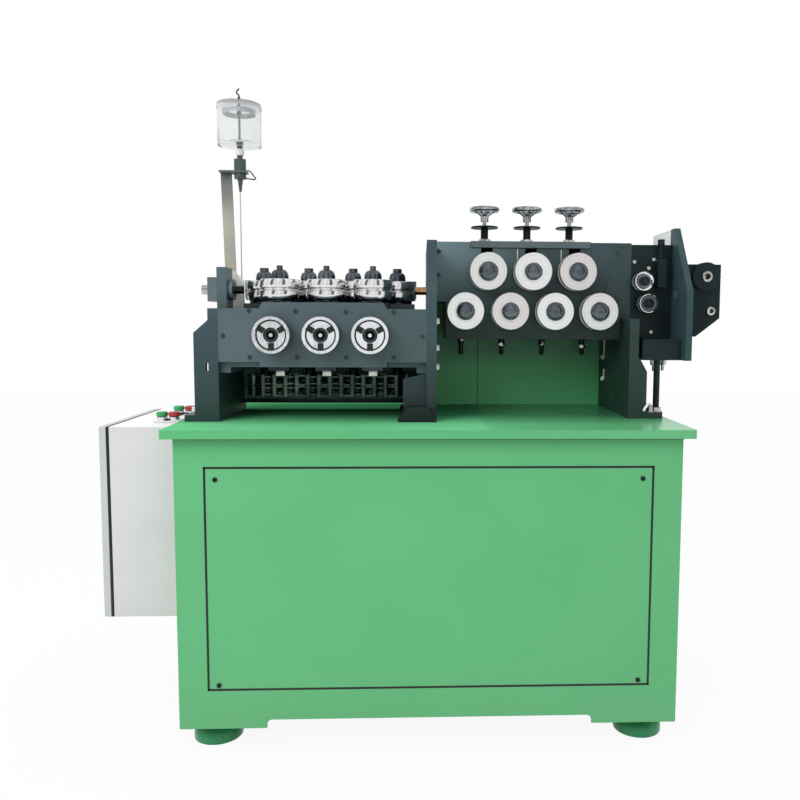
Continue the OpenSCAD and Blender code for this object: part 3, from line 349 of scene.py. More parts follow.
def clear_plastic(name):
    """Slightly milky acrylic."""
    f = Finish(name)
    haze = f.span(f.noise(9.0, 3.0), 0.3, 0.7)
    f.set(Base_Color=f.mix(haze, rgb(240, 242, 243), rgb(250, 251, 251)),
          Roughness=f.span(f.noise(30.0, 3.0), 0.3, 0.7, 0.08, 0.2))
    f.shader.inputs["Transmission Weight"].default_value = 0.9
    f.shader.inputs["IOR"].default_value = 1.08
    f.bump(f.noise(18.0, 2.0), 0.02, 0.0006)
    return f.mat


CLEAR = clear_plastic("clear_acrylic")


# piece helpers; edges that turn by more than SHARP degrees are shaded sharp
SHARP = 34.0


class Shape:
    """Collects solids of one material into one mesh."""

    def __init__(self):
        self.bm = bmesh.new()

    def lathe(self, profile, m, segs):
        """profile holds (radius, height) or (radius, height, 6) for a hexagon ring, in millimetres."""
        rings = []
        for p in profile:
            r = p[0] / 1000
            h = p[1] / 1000
            if r < 1e-7:
                rings.append([self.bm.verts.new(m @ Vector((0, 0, h)))])
                continue
            ring = []
            for i in range(segs):
                a = 2 * math.pi * i / segs
                k = r
                if len(p) > 2:
                    k = r * math.cos(math.pi / 6) / math.cos(a % (math.pi / 3) - math.pi / 6)
                ring.append(self.bm.verts.new(m @ Vector((k * math.cos(a), k * math.sin(a), h))))
            rings.append(ring)
        for a, b in zip(rings, rings[1:]):
            for i in range(segs):
                j = (i + 1) % segs
                if len(a) == 1 and len(b) > 1:
                    self.bm.faces.new((a[0], b[i], b[j]))
                elif len(b) == 1 and len(a) > 1:
                    self.bm.faces.new((a[i], b[0], a[j]))
                elif len(a) > 1:
                    self.bm.faces.new((a[i], b[i], b[j], a[j]))

    def box(self, lo, hi, bevel):
        """A box between two places in millimetres, with rounded edges."""
        a = at(*lo)
        b = at(*hi)
        m = Matrix.Translation((a + b) / 2) @ Matrix.Diagonal((*(b - a), 1.0))
        made = bmesh.ops.create_cube(self.bm, size=1.0, matrix=m)["verts"]
        edges = list({e for v in made for e in v.link_edges})
        bmesh.ops.bevel(self.bm, geom=edges, offset=bevel / 1000, segments=2, profile=0.5, affect="EDGES")

    def torus(self, big, small, m, segs, sides):
        """A ring of radius big, round in section with radius small, in millimetres."""
        rows = []
        for i in range(segs):
            a = 2 * math.pi * i / segs
            row = []
            for k in range(sides):
                t = 2 * math.pi * k / sides
                r = (big + small * math.cos(t)) / 1000
                h = small * math.sin(t) / 1000
                row.append(self.bm.verts.new(m @ Vector((r * math.cos(a), r * math.sin(a), h))))
            rows.append(row)
        for i in range(segs):
            a = rows[i]
            b = rows[(i + 1) % segs]
            for k in range(sides):
                n = (k + 1) % sides
                self.bm.faces.new((a[k], b[k], b[n], a[n]))

    def cube(self, m, size):
        """A plain box of the given size in millimetres round a matrix's origin."""
        size = [v / 1000 for v in size]
        bmesh.ops.create_cube(self.bm, size=1.0, matrix=m @ Matrix.Diagonal((*size, 1)))

    def socket_screw(self, m, r, h):
        """A round head with a hexagon socket."""
        s = r * 0.52
        deep = h * 0.35
        head = [(0, -0.2), (r, -0.2), (r, h * 0.8), (r * 0.9, h), (s, h, 6), (s, deep, 6), (0, deep)]
        self.lathe(head, m, 24)

    def hex_head(self, m, r, h, washer=0.0):
        """A hexagon head with a chamfer, on a washer if one is given."""
        if washer:
            self.lathe([(0, -0.2), (washer, -0.2), (washer, 1.4), (0, 1.4)], m, 32)
        self.lathe([(0, 0), (r, 0, 6), (r, h * 0.85, 6), (r * 0.84, h), (0, h)], m, 24)

    def done(self, name, mat, body="frame", slot=None):
        """Makes the piece, lets it ride a body and returns it."""
        bmesh.ops.recalc_face_normals(self.bm, faces=self.bm.faces)
        mesh = bpy.data.meshes.new(name)
        self.bm.to_mesh(mesh)
        self.bm.free()
        mesh.polygons.foreach_set("use_smooth", [True] * len(mesh.polygons))
        mesh.set_sharp_from_angle(angle=math.radians(SHARP))
        mesh.materials.append(mat)
        o = bpy.data.objects.new(name, mesh)
        bpy.context.scene.collection.objects.link(o)
        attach(o, body)
        return o


def wire(name, points, radius, mat):
    """A bent wire through places in millimetres."""
    c = bpy.data.curves.new(name, "CURVE")
    c.dimensions = "3D"
    c.bevel_depth = radius / 1000
    c.bevel_resolution = 4
    c.use_fill_caps = True
    s = c.splines.new("BEZIER")
    s.bezier_points.add(len(points) - 1)
    for b, p in zip(s.bezier_points, points):
        b.co = at(*p)
        b.handle_left_type = b.handle_right_type = "AUTO"
    s.resolution_u = 8
    c.materials.append(mat)
    o = bpy.data.objects.new(name, c)
    bpy.context.scene.collection.objects.link(o)
    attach(o, "frame")


# finishes of the solids
def dress(node, mat, bevel):
    """Gives a solid its finish and softens its sharp edges; bevel is in millimetres."""
    o = NODES[node]
    o.data.materials.clear()
    o.data.materials.append(mat)
    if bevel:
        weld = o.modifiers.new("weld", "WELD")
        weld.merge_threshold = 0.00001
        edge = o.modifiers.new("soft_edge", "BEVEL")
        edge.width = bevel / 1000
        edge.segments = 2
        edge.limit_method = "ANGLE"
        edge.angle_limit = math.radians(50)
        edge.use_clamp_overlap = True
        edge.harden_normals = True


def handwheel_finish(name, split):
    """Chrome above the dial, blackened steel with a thread below it."""
    f = Finish(name)
    up = f.span(f.axis("Z"), split - 0.0004, split + 0.0004)
    tone = f.mix(f.span(f.noise(14.0, 4.0), 0.3, 0.7), rgb(120, 126, 130), rgb(200, 204, 208))
    f.set(Base_Color=f.mix(up, rgb(38, 41, 43), tone), Metallic=f.span(up, 0.0, 1.0, 0.7, 1.0),
          Roughness=f.span(up, 0.0, 1.0, 0.36, 0.06))
    wave = f.add("ShaderNodeTexWave", wave_type="BANDS", bands_direction="Z")
    f.feed(wave.inputs["Vector"], f.coord)
    wave.inputs["Scale"].default_value = 80.0
    f.bump(f.math("MULTIPLY", wave.outputs[1], f.span(up, 0.0, 1.0, 1.0, 0.0)), 0.5, 0.0012)
    return f.mat


def guide_finish(name):
    """A bright nose, a painted block and a blackened inner tube, split along X."""
    f = Finish(name)
    x = f.axis("X")
    nose = f.span(x, at(-552.5, 0, 0).x, at(-551.5, 0, 0).x, 1.0, 0.0)
    tube = f.span(x, at(-493, 0, 0).x, at(-491, 0, 0).x)
    paint = f.mix(f.span(f.noise(14.0, 4.0), 0.32, 0.68), rgb(78, 92, 96), rgb(100, 116, 120))
    tone = f.mix(nose, paint, rgb(196, 192, 184))
    tone = f.mix(tube, tone, rgb(34, 36, 38))
    f.set(Base_Color=tone, Metallic=f.math("MAXIMUM", nose, f.math("MULTIPLY", tube, 0.8)),
          Roughness=f.span(f.noise(40.0, 4.0), 0.3, 0.7, 0.28, 0.42))
    f.bump(f.noise(420.0, 2.0), 0.1, 0.0004)
    return f.mat


def bracket_finish(name):
    """Slate paint at the top of the oiler's bar that runs out into beige below, split along Z, and a
    near-white foot that is partly its own light grey and partly painted light.
    """
    f = Finish(name)
    high = f.span(f.axis("Z"), at(0, 0, 470).z, at(0, 0, 625).z)
    beige = f.mix(f.span(f.noise(14.0, 4.0), 0.32, 0.68), rgb(150, 149, 139), rgb(176, 173, 160))
    # the foot is near white: its own light grey, lifted further by painted light against the lug's shade
    foot = f.span(f.axis("Z"), at(0, 0, 372).z, at(0, 0, 352).z)
    beige = f.mix(foot, beige, rgb(240, 244, 239))
    f.set(Base_Color=f.mix(high, beige, rgb(74, 81, 81)))
    f.set(Roughness=f.span(f.noise(40.0, 4.0), 0.3, 0.7, 0.4, 0.55))
    f.bump(f.noise(500.0, 2.0), 0.12, 0.0004)
    return f.mat


def valve_finish(name):
    """A dark moulded valve with a thin clear-grey pipe under it, split along Z."""
    f = Finish(name)
    pipe = f.span(f.axis("Z"), at(0, 0, 568).z, at(0, 0, 570).z, 1.0, 0.0)
    body = f.mix(f.span(f.noise(40.0, 4.0), 0.3, 0.7), rgb(52, 64, 66), rgb(72, 86, 88))
    f.set(Base_Color=f.mix(pipe, body, rgb(176, 178, 176)))
    f.set(Roughness=f.span(f.noise(60.0, 3.0), 0.3, 0.7, 0.3, 0.44))
    f.bump(f.noise(500.0, 2.0), 0.06, 0.0003)
    return f.mat


WHEEL = wavy_chrome("wheel_chrome", (206, 210, 213), (120, 126, 130), 90.0, 0.5)
KNOB = wavy_chrome("knob_chrome", (240, 242, 244), (214, 217, 220), 60.0, 0.2)

for n in ("base_front", "base_floor", "front_panel"):
    dress(n, GREEN, 1.0)
for n in ("base_sides", "base_rear"):
    dress(n, GREEN, 0.0)
dress("drive_cover", GREEN_COVER, 1.0)
dress("table_top", GREEN_TOP, 2.5)
dress("levelling_feet", GREEN_FOOT, 1.0)
dress("electrical_box", GREY_BOX, 1.0)
dress("electrical_door", GREY_DOOR, 1.2)
for n in ("left_front_plate", "left_bed"):
    dress(n, HEAD, 0.0)
dress("left_stand", STAND, 1.2)
dress("middle_stand", STAND_MID, 1.2)
dress("roll_plate", ROLL_PLATE, 1.2)
for n in ("right_stand", "back_plate"):
    dress(n, HEAD_DARK, 1.2)
dress("slide_bar", BAR, 1.2)
for n in ("rear_bearing_bar", "lower_spindles", "front_slide_1", "front_slide_2", "front_slide_3"):
    dress(n, GLOSS_BLACK, 0.6)
for n in ("drive_sprockets", "lower_screws", "top_slide_1", "top_slide_2", "top_slide_3"):
    dress(n, BLACK, 0.6)
for n in ("exit_plate", "exit_block"):
    dress(n, EXIT, 1.0)
dress("exit_bracket", EXIT_SIDE, 1.0)
dress("drive_chain", CHAIN, 0.0)
dress("transfer_tube", BRASS, 0.4)
dress("oiler_bracket", bracket_finish("bracket_enamel"), 0.8)
dress("oil_cup", CLEAR, 0.6)
dress("oil_valve", valve_finish("valve_dark"), 0.5)
dress("entry_guide", guide_finish("guide_finish"), 0.6)
c = at(EXIT_LOWER_X, PASS_Y, PASS_H - EXIT_Z)
dress("exit_roller_lower", turned("exit_steel_lower", c, 1, (112, 118, 120), (70, 76, 78)), 0.6)
c = at(EXIT_UPPER_X, PASS_Y, PASS_H + EXIT_Z)
dress("exit_roller_upper", turned("exit_steel_upper", c, 1, (150, 154, 156), (96, 102, 104)), 0.6)
TINTS = ((238, 240, 238), (250, 251, 251), (236, 232, 231), (246, 247, 246))
ROLL_STEEL = {}


def level_roll(row, k, x, z, light):
    """Dresses a level roll and keeps its finish for the ring on its face."""
    deep = [v * 0.95 for v in light]
    mat = turned(f"roll_steel_{row}_{k + 1}", at(x, PASS_Y, z), 1, light, deep, (0.3, 0.42))
    ROLL_STEEL[row, k] = mat
    dress(f"{row}_roll_{k + 1}", mat, 0.5)


for k, i in enumerate(FRONT):
    c = at(HEAD1_X + i * PITCH, PASS_Y - ROW / 2, PASS_H)
    steel = turned(f"roll_steel_front_{k + 1}", c, 2, (240, 240, 240), (226, 226, 226), (0.12, 0.2))
    dress(f"front_roll_{k + 1}", steel, 0.5)
    level_roll("top", k, HEAD2_X + i * PITCH, PASS_H + ROW / 2, TINTS[k])
    dress(f"front_knob_{k + 1}", KNOB, 0.8)
    dress(f"handwheel_{k + 1}", handwheel_finish(f"handwheel_finish_{k + 1}", at(0, 0, WHEEL_SPLIT).z), 0.4)
for k, i in enumerate(FAR):
    c = at(HEAD1_X + i * PITCH, PASS_Y + ROW / 2, PASS_H)
    steel = turned(f"roll_steel_rear_{k + 1}", c, 2, (236, 236, 236), (220, 220, 220), (0.12, 0.22))
    dress(f"rear_roll_{k + 1}", steel, 0.5)
    level_roll("lower", k, HEAD2_X + i * PITCH, PASS_H - ROW / 2, TINTS[3 - k])

# screws of the base and the heads
s = Shape()
for x in (-485, 485):
    for z in (-115, -593):
        s.socket_screw(aim(x, BASE_FRONT, z, OUT), 5.5, 2.5)
s.done("panel_screws", BLACK, slot="dark_steel")

s = Shape()
for x, z in ((-430, 264), (-320, 264), (-202, 263), (-88, 263), (-430, 154),
             (-318, 154), (-202, 154), (-88, 155), (-492, 205), (-20, 205)):
    s.socket_screw(aim(x, PLATE1_FRONT, z, OUT), 5.5, 1.6)
for x, z in ((22, 421), (22, 361), (486, 421), (486, 300)):
    s.socket_screw(aim(x, PLATE2_FRONT, z, OUT), 5.5, 1.6)
s.done("head_screws", SCREW, slot="dark_steel")

s = Shape()
for z in (240, 176, 130):
    s.hex_head(aim(14, 166, z, SIDE), 9.0, 7.0, 11.0)
s.done("stand_bolts", ZINC, slot="ground_steel")

# bright nuts under the front slides
for k, i in enumerate(FRONT):
    x = HEAD1_X + i * PITCH
    s = Shape()
    s.box((x - 10.8, 214.2, 105), (x + 10.8, 235.8, 119.5), 1.2)
    s.done(f"slide_nut_{k + 1}", ZINC, f"front_slide_{k + 1}", "ground_steel")


# domed lock nuts in the faces of the level rolls, and a bright land round each
def lock_nut(s, x, z, r, spin):
    """A dome with a hexagon socket and four small dogs at its rim."""
    m = aim(x, ROLL_FACE, z, OUT, spin)
    angles = [a * math.pi / 16 for a in range(9)]
    dome = [(r * (0.25 + 0.7 * math.cos(a)), 1.2 + 8.0 * math.sin(a)) for a in angles]
    rim = [(r + 0.4, -1.0), (r + 0.4, 0.6), (r - 0.4, 1.2)]
    s.lathe(rim + dome + [(4.2, 8.2, 6), (4.2, 5.0, 6), (0, 5.0)], m, 48)
    for a in range(4):
        turn = m @ Matrix.Rotation(math.pi / 2 * a + 0.4, 4, "Z")
        s.cube(turn @ Matrix.Translation((r * 0.86 / 1000, 0, 0.003)), (6.0, 4.6, 5.0))


def face_land(name, x, z, r, mat, body):
    """A raised ring on a roll's face, outside its nut."""
    s = Shape()
    s.lathe([(r + 0.8, -0.6), (r + 0.8, 0.3), (r + 1.4, 0.6), (26.4, 0.6), (26.9, 0.2), (26.9, -0.6)],
            aim(x, ROLL_FACE, z, OUT), 64)
    s.done(name, mat, body, "ground_steel")


TOP_NUT_R = (23.6, 21.4, 22.8)
LOWER_NUT_R = (22.4, 21.4, 22.8, 23.4)
for k, i in enumerate(FRONT):
    x = HEAD2_X + i * PITCH
    z = PASS_H + ROW / 2
    s = Shape()
    lock_nut(s, x, z, TOP_NUT_R[k], 0.7 * k)
    s.done(f"lock_nut_top_{k + 1}", NUT, f"top_slide_{k + 1}", "dark_steel")
    face_land(f"face_land_top_{k + 1}", x, z, TOP_NUT_R[k], ROLL_STEEL["top", k], f"top_roll_{k + 1}")
s = Shape()
for k, i in enumerate(FAR):
    lock_nut(s, HEAD2_X + i * PITCH, PASS_H - ROW / 2, LOWER_NUT_R[k], 0.9 * i)
s.done("lock_nuts_lower", NUT, slot="dark_steel")
for k, i in enumerate(FAR):
    face_land(f"face_land_lower_{k + 1}", HEAD2_X + i * PITCH, PASS_H - ROW / 2, LOWER_NUT_R[k],
              ROLL_STEEL["lower", k], f"lower_roll_{k + 1}")


# bell-shaped skins of the nuts over the upright rolls
def bell(s, x, y, neck):
    """A nut's foot, its round shoulder and its neck."""
    angles = [a * math.pi / 16 for a in range(8)]
    shoulder = [(neck + (21.5 - neck) * math.cos(a) ** 0.75, 5.0 + 18.0 * math.sin(a)) for a in angles]
    stem = [(neck + 0.3, 24.0), (neck + 0.3, 32.4), (neck - 0.6, 33.4), (0, 33.4)]
    s.lathe([(13.0, 0.2), (21.0, 0.2), (21.5, 0.8)] + shoulder + stem, aim(x, y, NUT_BASE, UP), 48)


for k, i in enumerate(FRONT):
    s = Shape()
    bell(s, HEAD1_X + i * PITCH, PASS_Y - ROW / 2, 7.2)
    s.done(f"nut_bell_{k + 1}", NUT, f"front_slide_{k + 1}", "dark_steel")
s = Shape()
for i in FAR:
    bell(s, HEAD1_X + i * PITCH, PASS_Y + ROW / 2, 11.2)
s.done("nut_bells_rear", NUT, slot="dark_steel")

# knobs: a dark ring inside the rim and dark pieces in the three slots, both painted shade, and a dark boss
for k, i in enumerate(FRONT):
    x = HEAD1_X + i * PITCH
    s = Shape()
    m = aim(x, KNOB_FACE, KNOB_Z, OUT)
    # painted shade: a dark ring in the crease inside the rim and dark pieces in the slots
    s.lathe([(32.2, -0.4), (32.2, 0.7), (35.9, 0.7), (35.9, -0.4)], m, 64)
    for a in range(3):
        turn = m @ Matrix.Rotation(math.pi * (2 * a / 3 - 0.5), 4, "Z")
        s.cube(turn @ Matrix.Translation((0.0268, 0, -0.0012)), (16.6, 13.6, 1.0))
    s.done(f"knob_painted_shade_{k + 1}", DARK, f"front_knob_{k + 1}", "dark_steel")
    s = Shape()
    m = aim(x, KNOB_BOSS_FACE, KNOB_Z, OUT, 0.3 * k)
    s.lathe([(17.6, -2.0), (17.6, 0.6), (15.0, 1.6), (11.0, 1.6), (9.6, 0.2), (7.0, 0.2), (6.0, 1.2),
             (4.6, 1.2, 6), (4.6, -2.0, 6)], m, 48)
    s.done(f"knob_boss_{k + 1}", GLOSS_BLACK, f"front_knob_{k + 1}", "dark_steel")

# lower lip of the left head's rear plate
s = Shape()
s.box((-503.4, 421.4, 18), (-10.4, 438.6, 30.6), 0.8)
s.done("rear_plate_lip", HEAD_DARK, slot="head_paint")

# bright nuts and washers on the screws under the right head
SCREW_NUT_Z = (189.5, 176.0, 178.0, 171.0)
s = Shape()
for low, i in zip(SCREW_NUT_Z, FAR):
    x = HEAD2_X + i * PITCH
    s.lathe([(6.0, 0), (11.5, 0, 6), (11.5, 6.4, 6), (10.2, 7.4), (6.0, 7.4)],
            aim(x, HANG_Y, low, UP, 0.5 * i), 48)
    s.lathe([(6.0, -1.6), (12.4, -1.6), (12.4, -0.2), (6.0, -0.2)], aim(x, HANG_Y, low, UP), 32)
s.done("screw_nuts", ZINC, slot="ground_steel")

# jam nuts and dial marks of the handwheels
s = Shape()
for i in FRONT:
    x = HEAD2_X + i * PITCH
    s.lathe([(11.0, 0.0), (17.5, 0.0, 6), (17.5, 6.4, 6), (15.2, 7.6), (11.0, 7.6)],
            aim(x, WHEEL_Y, BAR_TOP, UP, 0.4 * i), 48)
s.done("jam_nuts", ZINC, slot="ground_steel")
for k, i in enumerate(FRONT):
    s = Shape()
    c = aim(HEAD2_X + i * PITCH, WHEEL_Y, DIAL_TOP, UP)
    for a in range(40):
        long = 6.0 if a % 5 == 0 else 3.5
        turn = c @ Matrix.Rotation(math.pi / 20 * a, 4, "Z")
        s.cube(turn @ Matrix.Translation(((35.4 - long / 2) / 1000, 0, 0.0)), (long, 0.6, 0.4))
    s.done(f"dial_marks_{k + 1}", WHITE, f"handwheel_{k + 1}")

# round rims of the handwheels
for k, i in enumerate(FRONT):
    s = Shape()
    s.torus(34.0, 6.2, aim(HEAD2_X + i * PITCH, WHEEL_Y, RIM_Z, UP), 72, 16)
    s.done(f"wheel_rim_{k + 1}", WHEEL, f"handwheel_{k + 1}", "chrome")

# push buttons: plate, bezels, caps, a blank legend and a dark strip between the two rows
plate = Shape()
plate.box((-706, 284, -20), (-643, 469, -15.5), 0.8)
plate = plate.done("button_plate", GREY_BOX, slot="button_plastic")
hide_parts("push_buttons")
s = Shape()
for x in BUTTON_X:
    for y in BUTTON_Y:
        s.lathe([(0, 0), (14.0, 0), (14.0, 8.0), (12.8, 9.6), (11.4, 9.8), (11.4, 5.0), (0, 5.0)],
                aim(x, y, BUTTON_BASE, UP), 40)
s.done("button_bezels", CHROME, slot="button_plastic")
for name, x, mat in (("green_buttons", BUTTON_X[0], BUTTON_GREEN), ("red_buttons", BUTTON_X[1], RED)):
    s = Shape()
    for y in BUTTON_Y:
        s.lathe([(0, 4.8), (10.9, 4.8), (11.0, 10.0), (14.2, 11.6), (14.8, 18.0), (13.6, 21.0),
                 (10.0, 22.4), (0, 22.8)], aim(x, y, BUTTON_BASE, UP), 40)
    s.done(name, mat, slot="button_plastic")
s = Shape()
s.box((-649, 424, BUTTON_BASE), (-625, 428, 6), 0.6)
s.done("blank_legend", WHITE, slot="button_plastic")
s = Shape()
s.box((-677.5, 288, BUTTON_BASE), (-671.5, 466, -12.5), 0.6)
s.done("button_row_dark_strip", DARK, slot="button_plastic")

# dark seals in the open joints round the front panel and behind the box's door, and a dark strip under the
# table top's front and side edges, painted shadow of its overhang
s = Shape()
for x in PANEL_X:
    s.box((x - 1.6, 26.4, -605.3), (x + 1.6, 28.9, -86.7), 0.3)
for z in PANEL_Z:
    s.box((-510.4, 26.4, z - 1.6), (510.4, 28.9, z + 1.6), 0.3)
for x in PANEL_X:
    s.box((x - 2.4, 24.5, -606), (x + 2.4, 25.1, -86), 0.1)
for z in PANEL_Z:
    s.box((-511, 24.5, z - 2.4), (511, 25.1, z + 2.4), 0.1)
for y in (208.6, 603.4):
    s.box((-794.6, y - 3.0, -497.4), (-787.4, y + 3.0, -20.6), 0.3)
for z in (-494.6, -22.8):
    s.box((-794.6, 206, z - 3.0), (-787.4, 606, z + 3.2), 0.3)
# painted shadow: a dark strip under the table top's front and side edges
s.box((-577.6, 24.4, -25.0), (577.6, 26.4, -20.1), 0.2)
for x in (-577, 577):
    s.box((x - 0.6, 25.4, -25.0), (x + 0.6, 674, -20.1), 0.2)
s.done("joint_seals_and_table_shadow", DARK, slot="dark_steel")

# oiler: lid, sight rod, gasket, hook, the tap's wire loop and the valve's collar
s = Shape()
s.lathe([(0, 104), (52.0, 104), (55.0, 103.0), (55.6, 100.0), (55.6, 90.5), (54.6, 90.0), (54.4, 100.6),
         (0, 100.6)], aim(OILER_X, OILER_Y, CUP_BASE + 0.4, UP), 64)
s.done("cup_lid", CLEAR, slot="clear_plastic")
s = Shape()
s.lathe([(0, 6.2), (9.5, 6.2), (9.5, 15.0), (7.5, 17.0), (1.5, 17.6), (1.5, 80.0), (5.5, 80.4),
         (5.5, 99.0), (3.2, 99.4), (3.2, 122.0), (0, 122.0)], aim(OILER_X, OILER_Y, CUP_BASE, UP), 32)
for z in range(22, 80, 7):
    s.torus(2.0, 1.8, aim(OILER_X, OILER_Y, CUP_BASE + z, UP), 20, 8)
s.done("sight_rod", BLACK, slot="dark_steel")
s = Shape()
s.lathe([(36.0, 0), (41.0, 0), (41.0, 11.0), (36.0, 11.0), (36.0, 0)], aim(OILER_X, OILER_Y, 762.0, UP), 64)
s.done("cup_gasket", GASKET, slot="clear_plastic")
hook = ((0, 803), (0, 810), (-5, 815), (-5, 820), (1, 827))
wire("filler_hook", [(OILER_X + x, OILER_Y, z) for x, z in hook], 1.8, BLACK)
wire("tap_wire", [(-472, 329, 620), (-464, 326, 622), (-448, 322, 606), (-445, 322, 602), (-458, 326, 601),
                  (-472, 330, 604)], 1.6, BLACK)
s = Shape()
s.lathe([(7.0, 0), (9.0, 1.0), (11.0, 6.0), (11.0, 12.0), (8.5, 16.0), (7.0, 17.0)],
        aim(OILER_X, OILER_Y, 660, UP), 40)
s.done("valve_collar", WHITE, slot="clear_plastic")

# rear part of the exit unit's side plate, with its inner face painted pale as painted light
s = Shape()
s.box((630, 324.6, EXIT_LOW), (646, 478, 484), 1.0)
s.done("side_plate_rear", EXIT_BACK, slot="head_paint")

# exit unit: bright rings, bushes, bolts under the block, nuts and lever at the post's foot
s = Shape()
s.lathe([(18.0, 0), (18.0, 1.6), (21.0, 3.0), (23.6, 2.2), (24.3, 0), (24.3, -3.0)],
        aim(EXIT_UPPER_X, EXIT_FACE, PASS_H + EXIT_Z, OUT), 64)
s.done("roller_ring", CHROME, "exit_roller_upper", "chrome")
s = Shape()
s.lathe([(20.4, 0), (20.4, 1.2), (22.0, 2.4), (23.6, 1.8), (24.3, 0), (24.3, -4.0)],
        aim(EXIT_LOWER_X, EXIT_FACE, PASS_H - EXIT_Z, OUT), 64)
s.done("roller_ring_lower", CHROME, "exit_roller_lower", "chrome")
s = Shape()
s.lathe([(7.2, -3.0), (7.2, 0.5), (8.2, 1.6), (12.0, 1.6), (13.6, 0.4), (13.6, -3.0)],
        aim(718, 289, 361, OUT), 48)
s.lathe([(5.2, -2.0), (5.2, 0.4), (6.0, 1.3), (9.6, 1.3), (11.0, 0.4), (11.0, -2.0)],
        aim(735, 301, 272, OUT), 48)
s.done("bracket_bushes", ZINC, slot="ground_steel")
s = Shape()
for x, y in ((570, 246), (598, 262)):
    s.lathe([(0, 0), (11.0, 0), (11.0, 2.0), (0, 2.0)], aim(x, y, EXIT_LOW, DOWN), 32)
    s.hex_head(aim(x, y, EXIT_LOW - 1.8, DOWN), 9.5, 12.0)
    s.lathe([(4.2, 10.0), (4.2, 26.0), (3.2, 27.0), (0, 27.0)], aim(x, y, EXIT_LOW - 1.8, DOWN), 24)
s.done("block_bolts", ZINC, slot="ground_steel")
s = Shape()
s.hex_head(aim(574, 232, 16, UP), 14.0, 11.0, 18.0)
s.hex_head(aim(556, 222, 16, UP), 9.0, 17.0, 11.0)
s.done("post_nuts", ZINC, slot="ground_steel")
wire("post_lever", [(556, 221, 34), (549, 212, 36), (541, 206, 30), (535, 205, 20)], 3.4, WHITE)

# bright strips beside the upper slots, and pins with balls on the right stand's inner face
s = Shape()
for x in (225, 338.5):
    s.box((x - 1.6, 303.4, 397), (x + 1.6, 305.2, 428), 0.4)
s.done("slot_strips", ZINC, slot="ground_steel")
s = Shape()
for top, low in ((187, 143), (105, 82)):
    tall = top - low
    s.lathe([(0, 0), (2.2, 0.4), (2.2, tall), (3.4, tall + 0.5), (3.4, tall + 5), (0, tall + 5.5)],
            aim(495.4, 470, low, UP), 20)
    ball = [(6.4 * math.sin(a * math.pi / 10), -6.4 * math.cos(a * math.pi / 10)) for a in range(11)]
    s.lathe(ball, aim(492, 470, low, UP), 24)
s.done("hanging_pins", WHITE, slot="ground_steel")

# screws and pins of the exit unit
s = Shape()
for x, z in ((530, 398), (581, 404), (568, 382), (578, 217), (545, 170)):
    s.socket_screw(aim(x, PLATE2_FRONT, z, OUT), 5.0, 3.0)
for y, z in ((246, 330), (246, 200)):
    s.socket_screw(aim(646, y, z, SIDE), 5.5, 3.5)
s.done("exit_screws", ZINC, slot="ground_steel")
s = Shape()
for x, z in ((EXIT_UPPER_X, EXIT_Z), (EXIT_LOWER_X, -EXIT_Z)):
    s.hex_head(aim(x, EXIT_PIN_FACE, PASS_H + z, OUT), 9.0, 4.0)
s.done("roller_pins", BLACK, slot="dark_steel")

# floor, light and camera
floor = bpy.data.meshes.new("floor")
floor.from_pydata([(-9, -9, 0), (9, -9, 0), (9, 9, 0), (-9, 9, 0)], [], [(0, 1, 2, 3)])
f = Finish("floor_pale")
tone = f.mix(f.span(f.noise(0.7, 2.0), 0.3, 0.7), rgb(216, 216, 216), rgb(222, 222, 222))
f.set(Base_Color=tone, Roughness=0.85)
glow = f.add("ShaderNodeEmission")
seen = f.add("ShaderNodeLightPath")
direct = f.math("MAXIMUM", seen.outputs["Is Camera Ray"], seen.outputs["Is Glossy Ray"])
share = f.math("MULTIPLY", direct, 0.92)
both = f.add("ShaderNodeMixShader")
f.feed(both.inputs[0], share)
f.feed(both.inputs[1], f.shader.outputs[0])
f.feed(both.inputs[2], glow.outputs[0])
f.feed(f.tree.nodes["Material Output"].inputs[0], both.outputs[0])
floor.materials.append(f.mat)
floor = bpy.data.objects.new("floor", floor)
bpy.context.scene.collection.objects.link(floor)

world = bpy.data.worlds.new("studio")
bpy.context.scene.world = world
world.use_nodes = True
tree = world.node_tree
tree.nodes.clear()


def sky_node(kind, **values):
    n = tree.nodes.new(kind)
    for key, value in values.items():
        setattr(n, key, value)
    return n


def sky_math(kind, a, b=0.0):
    n = sky_node("ShaderNodeMath", operation=kind)
    for socket, value in zip(n.inputs, (a, b)):
        if isinstance(value, bpy.types.NodeSocket):
            tree.links.new(value, socket)
        else:
            socket.default_value = value
    return n.outputs[0]


def sky_span(value, low, high, to_low, to_high):
    n = sky_node("ShaderNodeMapRange")
    tree.links.new(value, n.inputs[0])
    for i, v in enumerate((low, high, to_low, to_high), 1):
        n.inputs[i].default_value = v
    return n.outputs[0]


# soft light that is brighter overhead; metal sees light and dark uprights round about; white ground behind
seen = sky_node("ShaderNodeLightPath")
way = sky_node("ShaderNodeSeparateXYZ")
tree.links.new(sky_node("ShaderNodeTexCoord").outputs["Generated"], way.inputs[0])
soft = sky_span(way.outputs["Z"], -0.1, 0.9, 0.5, 1.3)
round_about = sky_math("ARCTAN2", way.outputs["X"], way.outputs["Y"])
broad = sky_span(sky_math("COSINE", sky_math("MULTIPLY", round_about, 5.0)), 0.55, 0.9, 1.0, 0.1)
fine = sky_span(sky_math("COSINE", sky_math("MULTIPLY", round_about, 13.0)), 0.3, 0.8, 1.0, 0.72)
uprights = sky_math("MULTIPLY", broad, fine)
bright = sky_math("MULTIPLY", uprights, sky_span(way.outputs["Z"], -0.2, 0.8, 0.92, 1.05))
glossy = seen.outputs["Is Glossy Ray"]
level = sky_math("ADD", sky_math("MULTIPLY", bright, glossy),
                 sky_math("MULTIPLY", soft, sky_math("SUBTRACT", 1.0, glossy)))
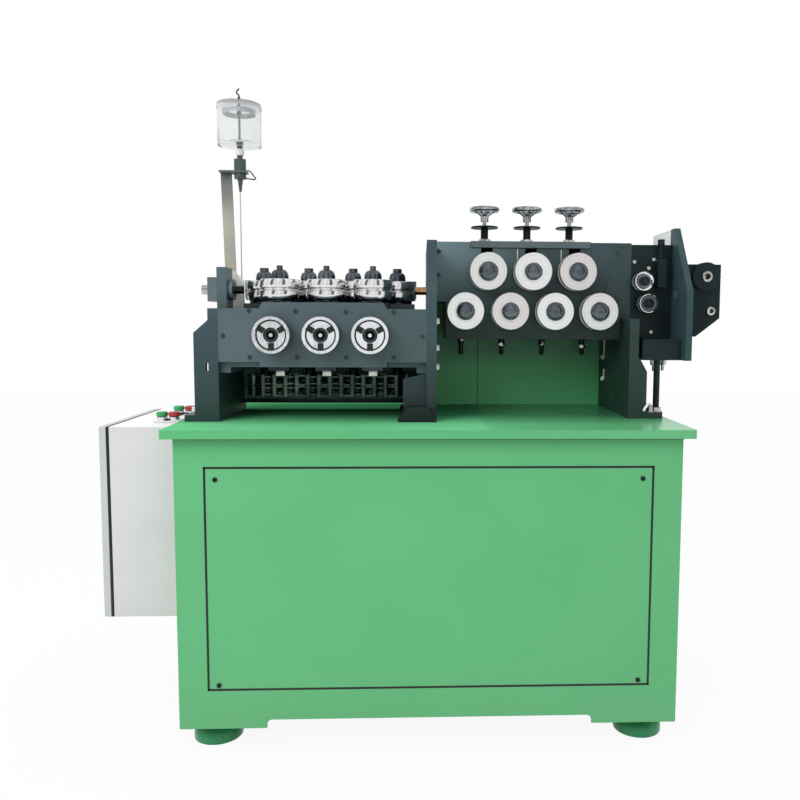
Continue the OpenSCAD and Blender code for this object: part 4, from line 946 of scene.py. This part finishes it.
plain = sky_math("MAXIMUM", seen.outputs["Is Camera Ray"], seen.outputs["Is Transmission Ray"])
level = sky_math("ADD", sky_math("MULTIPLY", level, sky_math("SUBTRACT", 1.0, plain)), plain)
sky = sky_node("ShaderNodeBackground")
sky.inputs["Color"].default_value = (1.0, 1.0, 1.0, 1.0)
tree.links.new(level, sky.inputs["Strength"])
tree.links.new(sky.outputs[0], sky_node("ShaderNodeOutputWorld").inputs[0])

# one broad lamp at the upper left in front
KEY_PLACE = Vector((-1.9, -2.6, 2.9))
KEY_TARGET = Vector((0.0, 0.0, 0.8))
key = bpy.data.lights.new("key", "AREA")
key.shape = "RECTANGLE"
key.size = 1.8
key.size_y = 1.8
key.energy = 66.0
key = bpy.data.objects.new("key", key)
key.location = KEY_PLACE
key.rotation_euler = (KEY_TARGET - KEY_PLACE).to_track_quat("-Z", "Y").to_euler()
key.visible_glossy = False
bpy.context.scene.collection.objects.link(key)

# the camera that fits the photo: focal length and centre in pixels of a picture 800 wide
WIDE = 800.0
FOCAL = 777.0
CENTRE_X = 451.0
CENTRE_Y = 388.0
SENSOR = 36.0
cam = bpy.data.cameras.new("camera")
cam.sensor_width = SENSOR
cam.lens = FOCAL / WIDE * SENSOR
cam.shift_x = (WIDE / 2 - CENTRE_X) / WIDE
cam.shift_y = (CENTRE_Y - WIDE / 2) / WIDE
cam.clip_end = 60.0
yaw, pitch, roll = (math.radians(a) for a in (2.3, 4.82, -0.28))
ahead = Vector((math.sin(yaw) * math.cos(pitch), math.cos(yaw) * math.cos(pitch), -math.sin(pitch)))
across = Vector((math.cos(yaw), -math.sin(yaw), 0.0))
below = ahead.cross(across)
right = across * math.cos(roll) + below * math.sin(roll)
down = below * math.cos(roll) - across * math.sin(roll)
cam = bpy.data.objects.new("camera", cam)
cam.matrix_world = Matrix((
    (right.x, -down.x, -ahead.x, 0.0005),
    (right.y, -down.y, -ahead.y, -2.063),
    (right.z, -down.z, -ahead.z, 0.994),
    (0.0, 0.0, 0.0, 1.0)))
bpy.context.scene.collection.objects.link(cam)
bpy.context.scene.camera = cam
bpy.context.scene.view_settings.view_transform = "Standard"

bpy.context.view_layer.update()
